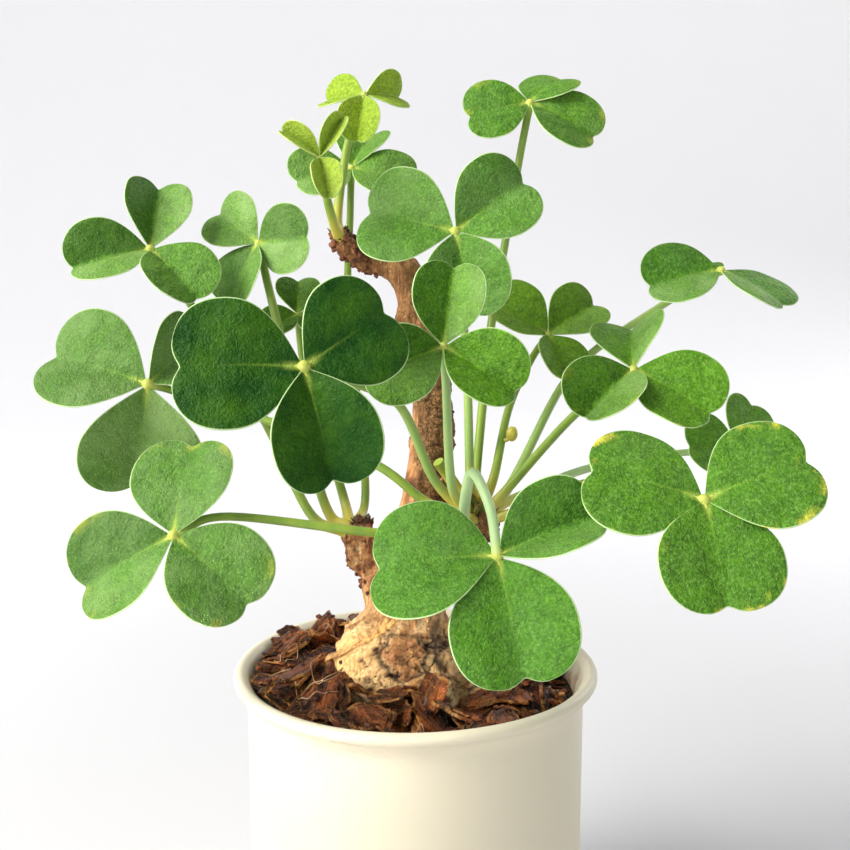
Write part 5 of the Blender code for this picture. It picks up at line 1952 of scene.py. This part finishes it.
def build_stage(stage):
    build_backdrop(stage)
    tilt = (math.radians(CAMERA_TILT), 0.0, 0.0)
    camera = added(bpy.ops.object.camera_add, location=CAMERA_PLACE, rotation=tilt)
    camera.data.lens = stage.lens
    camera.data.sensor_width = SENSOR_WIDTH
    camera.data.clip_start = NEAREST_SEEN
    bpy.context.scene.camera = camera
    for name, setting, place, target, size, spread, colour in LIGHTS:
        light = added(bpy.ops.object.light_add, type="AREA", location=place)
        light.name = name
        light.data.shape = "DISK"
        light.data.size = size
        light.data.spread = math.radians(spread)
        light.data.energy = getattr(stage, setting)
        light.data.color = linear(colour)
        light.rotation_euler = (Vector(target) - light.location).to_track_quat("-Z", "Y").to_euler()
    world = bpy.data.worlds.new("soft room light")
    world.use_nodes = True
    background = world.node_tree.nodes["Background"]
    background.inputs["Color"].default_value = (*linear(SKY_COLOUR), 1.0)
    background.inputs["Strength"].default_value = stage.sky
    bpy.context.scene.world = world
    bpy.context.scene.view_settings.view_transform = "Standard"


# Operators


class OXALIS_OT_pot(bpy.types.Operator):
    """Spin the pot and give it its matte glaze"""

    bl_idname = "oxalis.pot"
    bl_label = "Pot"

    def execute(self, context):
        build_pot(context.scene.oxalis_pot)
        return {"FINISHED"}


class OXALIS_OT_mulch(bpy.types.Operator):
    """Lay the bark flakes and crumbs on the soil"""

    bl_idname = "oxalis.mulch"
    bl_label = "Bark mulch"

    def execute(self, context):
        build_mulch(context.scene.oxalis_mulch)
        set_materials(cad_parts["soil"], [bpy.data.materials["potting soil"]])
        return {"FINISHED"}


class OXALIS_OT_rootlets(bpy.types.Operator):
    """Strew pale fibres over the mulch"""

    bl_idname = "oxalis.rootlets"
    bl_label = "Rootlets"

    def execute(self, context):
        build_rootlets(context.scene.oxalis_mulch)
        return {"FINISHED"}


class OXALIS_OT_stem(bpy.types.Operator):
    """Work the woody stem finer, with its bark, loose peels and old stalk bases"""

    bl_idname = "oxalis.stem"
    bl_label = "Woody stem"

    def execute(self, context):
        stem = context.scene.oxalis_stem
        build_stem(stem)
        build_peels(stem)
        build_scars(stem)
        return {"FINISHED"}


class OXALIS_OT_leaves(bpy.types.Operator):
    """Fold and set the leaflets of every leaf"""

    bl_idname = "oxalis.leaves"
    bl_label = "Leaves"

    def execute(self, context):
        build_leaves(context.scene.oxalis_leaf)
        return {"FINISHED"}


class OXALIS_OT_stalks(bpy.types.Operator):
    """Run the stalks from the crowns to the leaves, with their scales and the bud"""

    bl_idname = "oxalis.stalks"
    bl_label = "Stalks"

    def execute(self, context):
        build_stalks(context.scene.oxalis_leaf)
        build_scales()
        build_bud()
        return {"FINISHED"}


class OXALIS_OT_stage(bpy.types.Operator):
    """Set the floor, the lights and the camera"""

    bl_idname = "oxalis.stage"
    bl_label = "Stage"

    def execute(self, context):
        build_stage(context.scene.oxalis_stage)
        return {"FINISHED"}


SETTINGS = {
    "oxalis_pot": PotSettings,
    "oxalis_mulch": MulchSettings,
    "oxalis_stem": StemSettings,
    "oxalis_leaf": LeafSettings,
    "oxalis_stage": StageSettings,
}
OPERATORS = (
    OXALIS_OT_pot,
    OXALIS_OT_mulch,
    OXALIS_OT_rootlets,
    OXALIS_OT_stem,
    OXALIS_OT_leaves,
    OXALIS_OT_stalks,
    OXALIS_OT_stage,
)


class OXALIS_PT_panel(bpy.types.Panel):
    """The plant's sizes, colours and steps"""

    bl_label = "Oxalis"
    bl_idname = "OXALIS_PT_panel"
    bl_space_type = "VIEW_3D"
    bl_region_type = "UI"
    bl_category = "Oxalis"

    def draw(self, context):
        for operator in OPERATORS:
            self.layout.operator(operator.bl_idname)
        for name, group in SETTINGS.items():
            box = self.layout.box()
            for setting in group.__annotations__:
                box.prop(getattr(context.scene, name), setting)


def register():
    for group in SETTINGS.values():
        bpy.utils.register_class(group)
    for operator in OPERATORS:
        bpy.utils.register_class(operator)
    bpy.utils.register_class(OXALIS_PT_panel)
    for name, group in SETTINGS.items():
        setattr(bpy.types.Scene, name, PointerProperty(type=group))


def unregister():
    for name in SETTINGS:
        delattr(bpy.types.Scene, name)
    bpy.utils.unregister_class(OXALIS_PT_panel)
    for operator in reversed(OPERATORS):
        bpy.utils.unregister_class(operator)
    for group in reversed(SETTINGS.values()):
        bpy.utils.unregister_class(group)


def main():
    register()
    bpy.ops.oxalis.pot()
    bpy.ops.oxalis.mulch()
    bpy.ops.oxalis.rootlets()
    bpy.ops.oxalis.stem()
    bpy.ops.oxalis.leaves()
    bpy.ops.oxalis.stalks()
    bpy.ops.oxalis.stage()


if __name__ == "__main__":
    main()
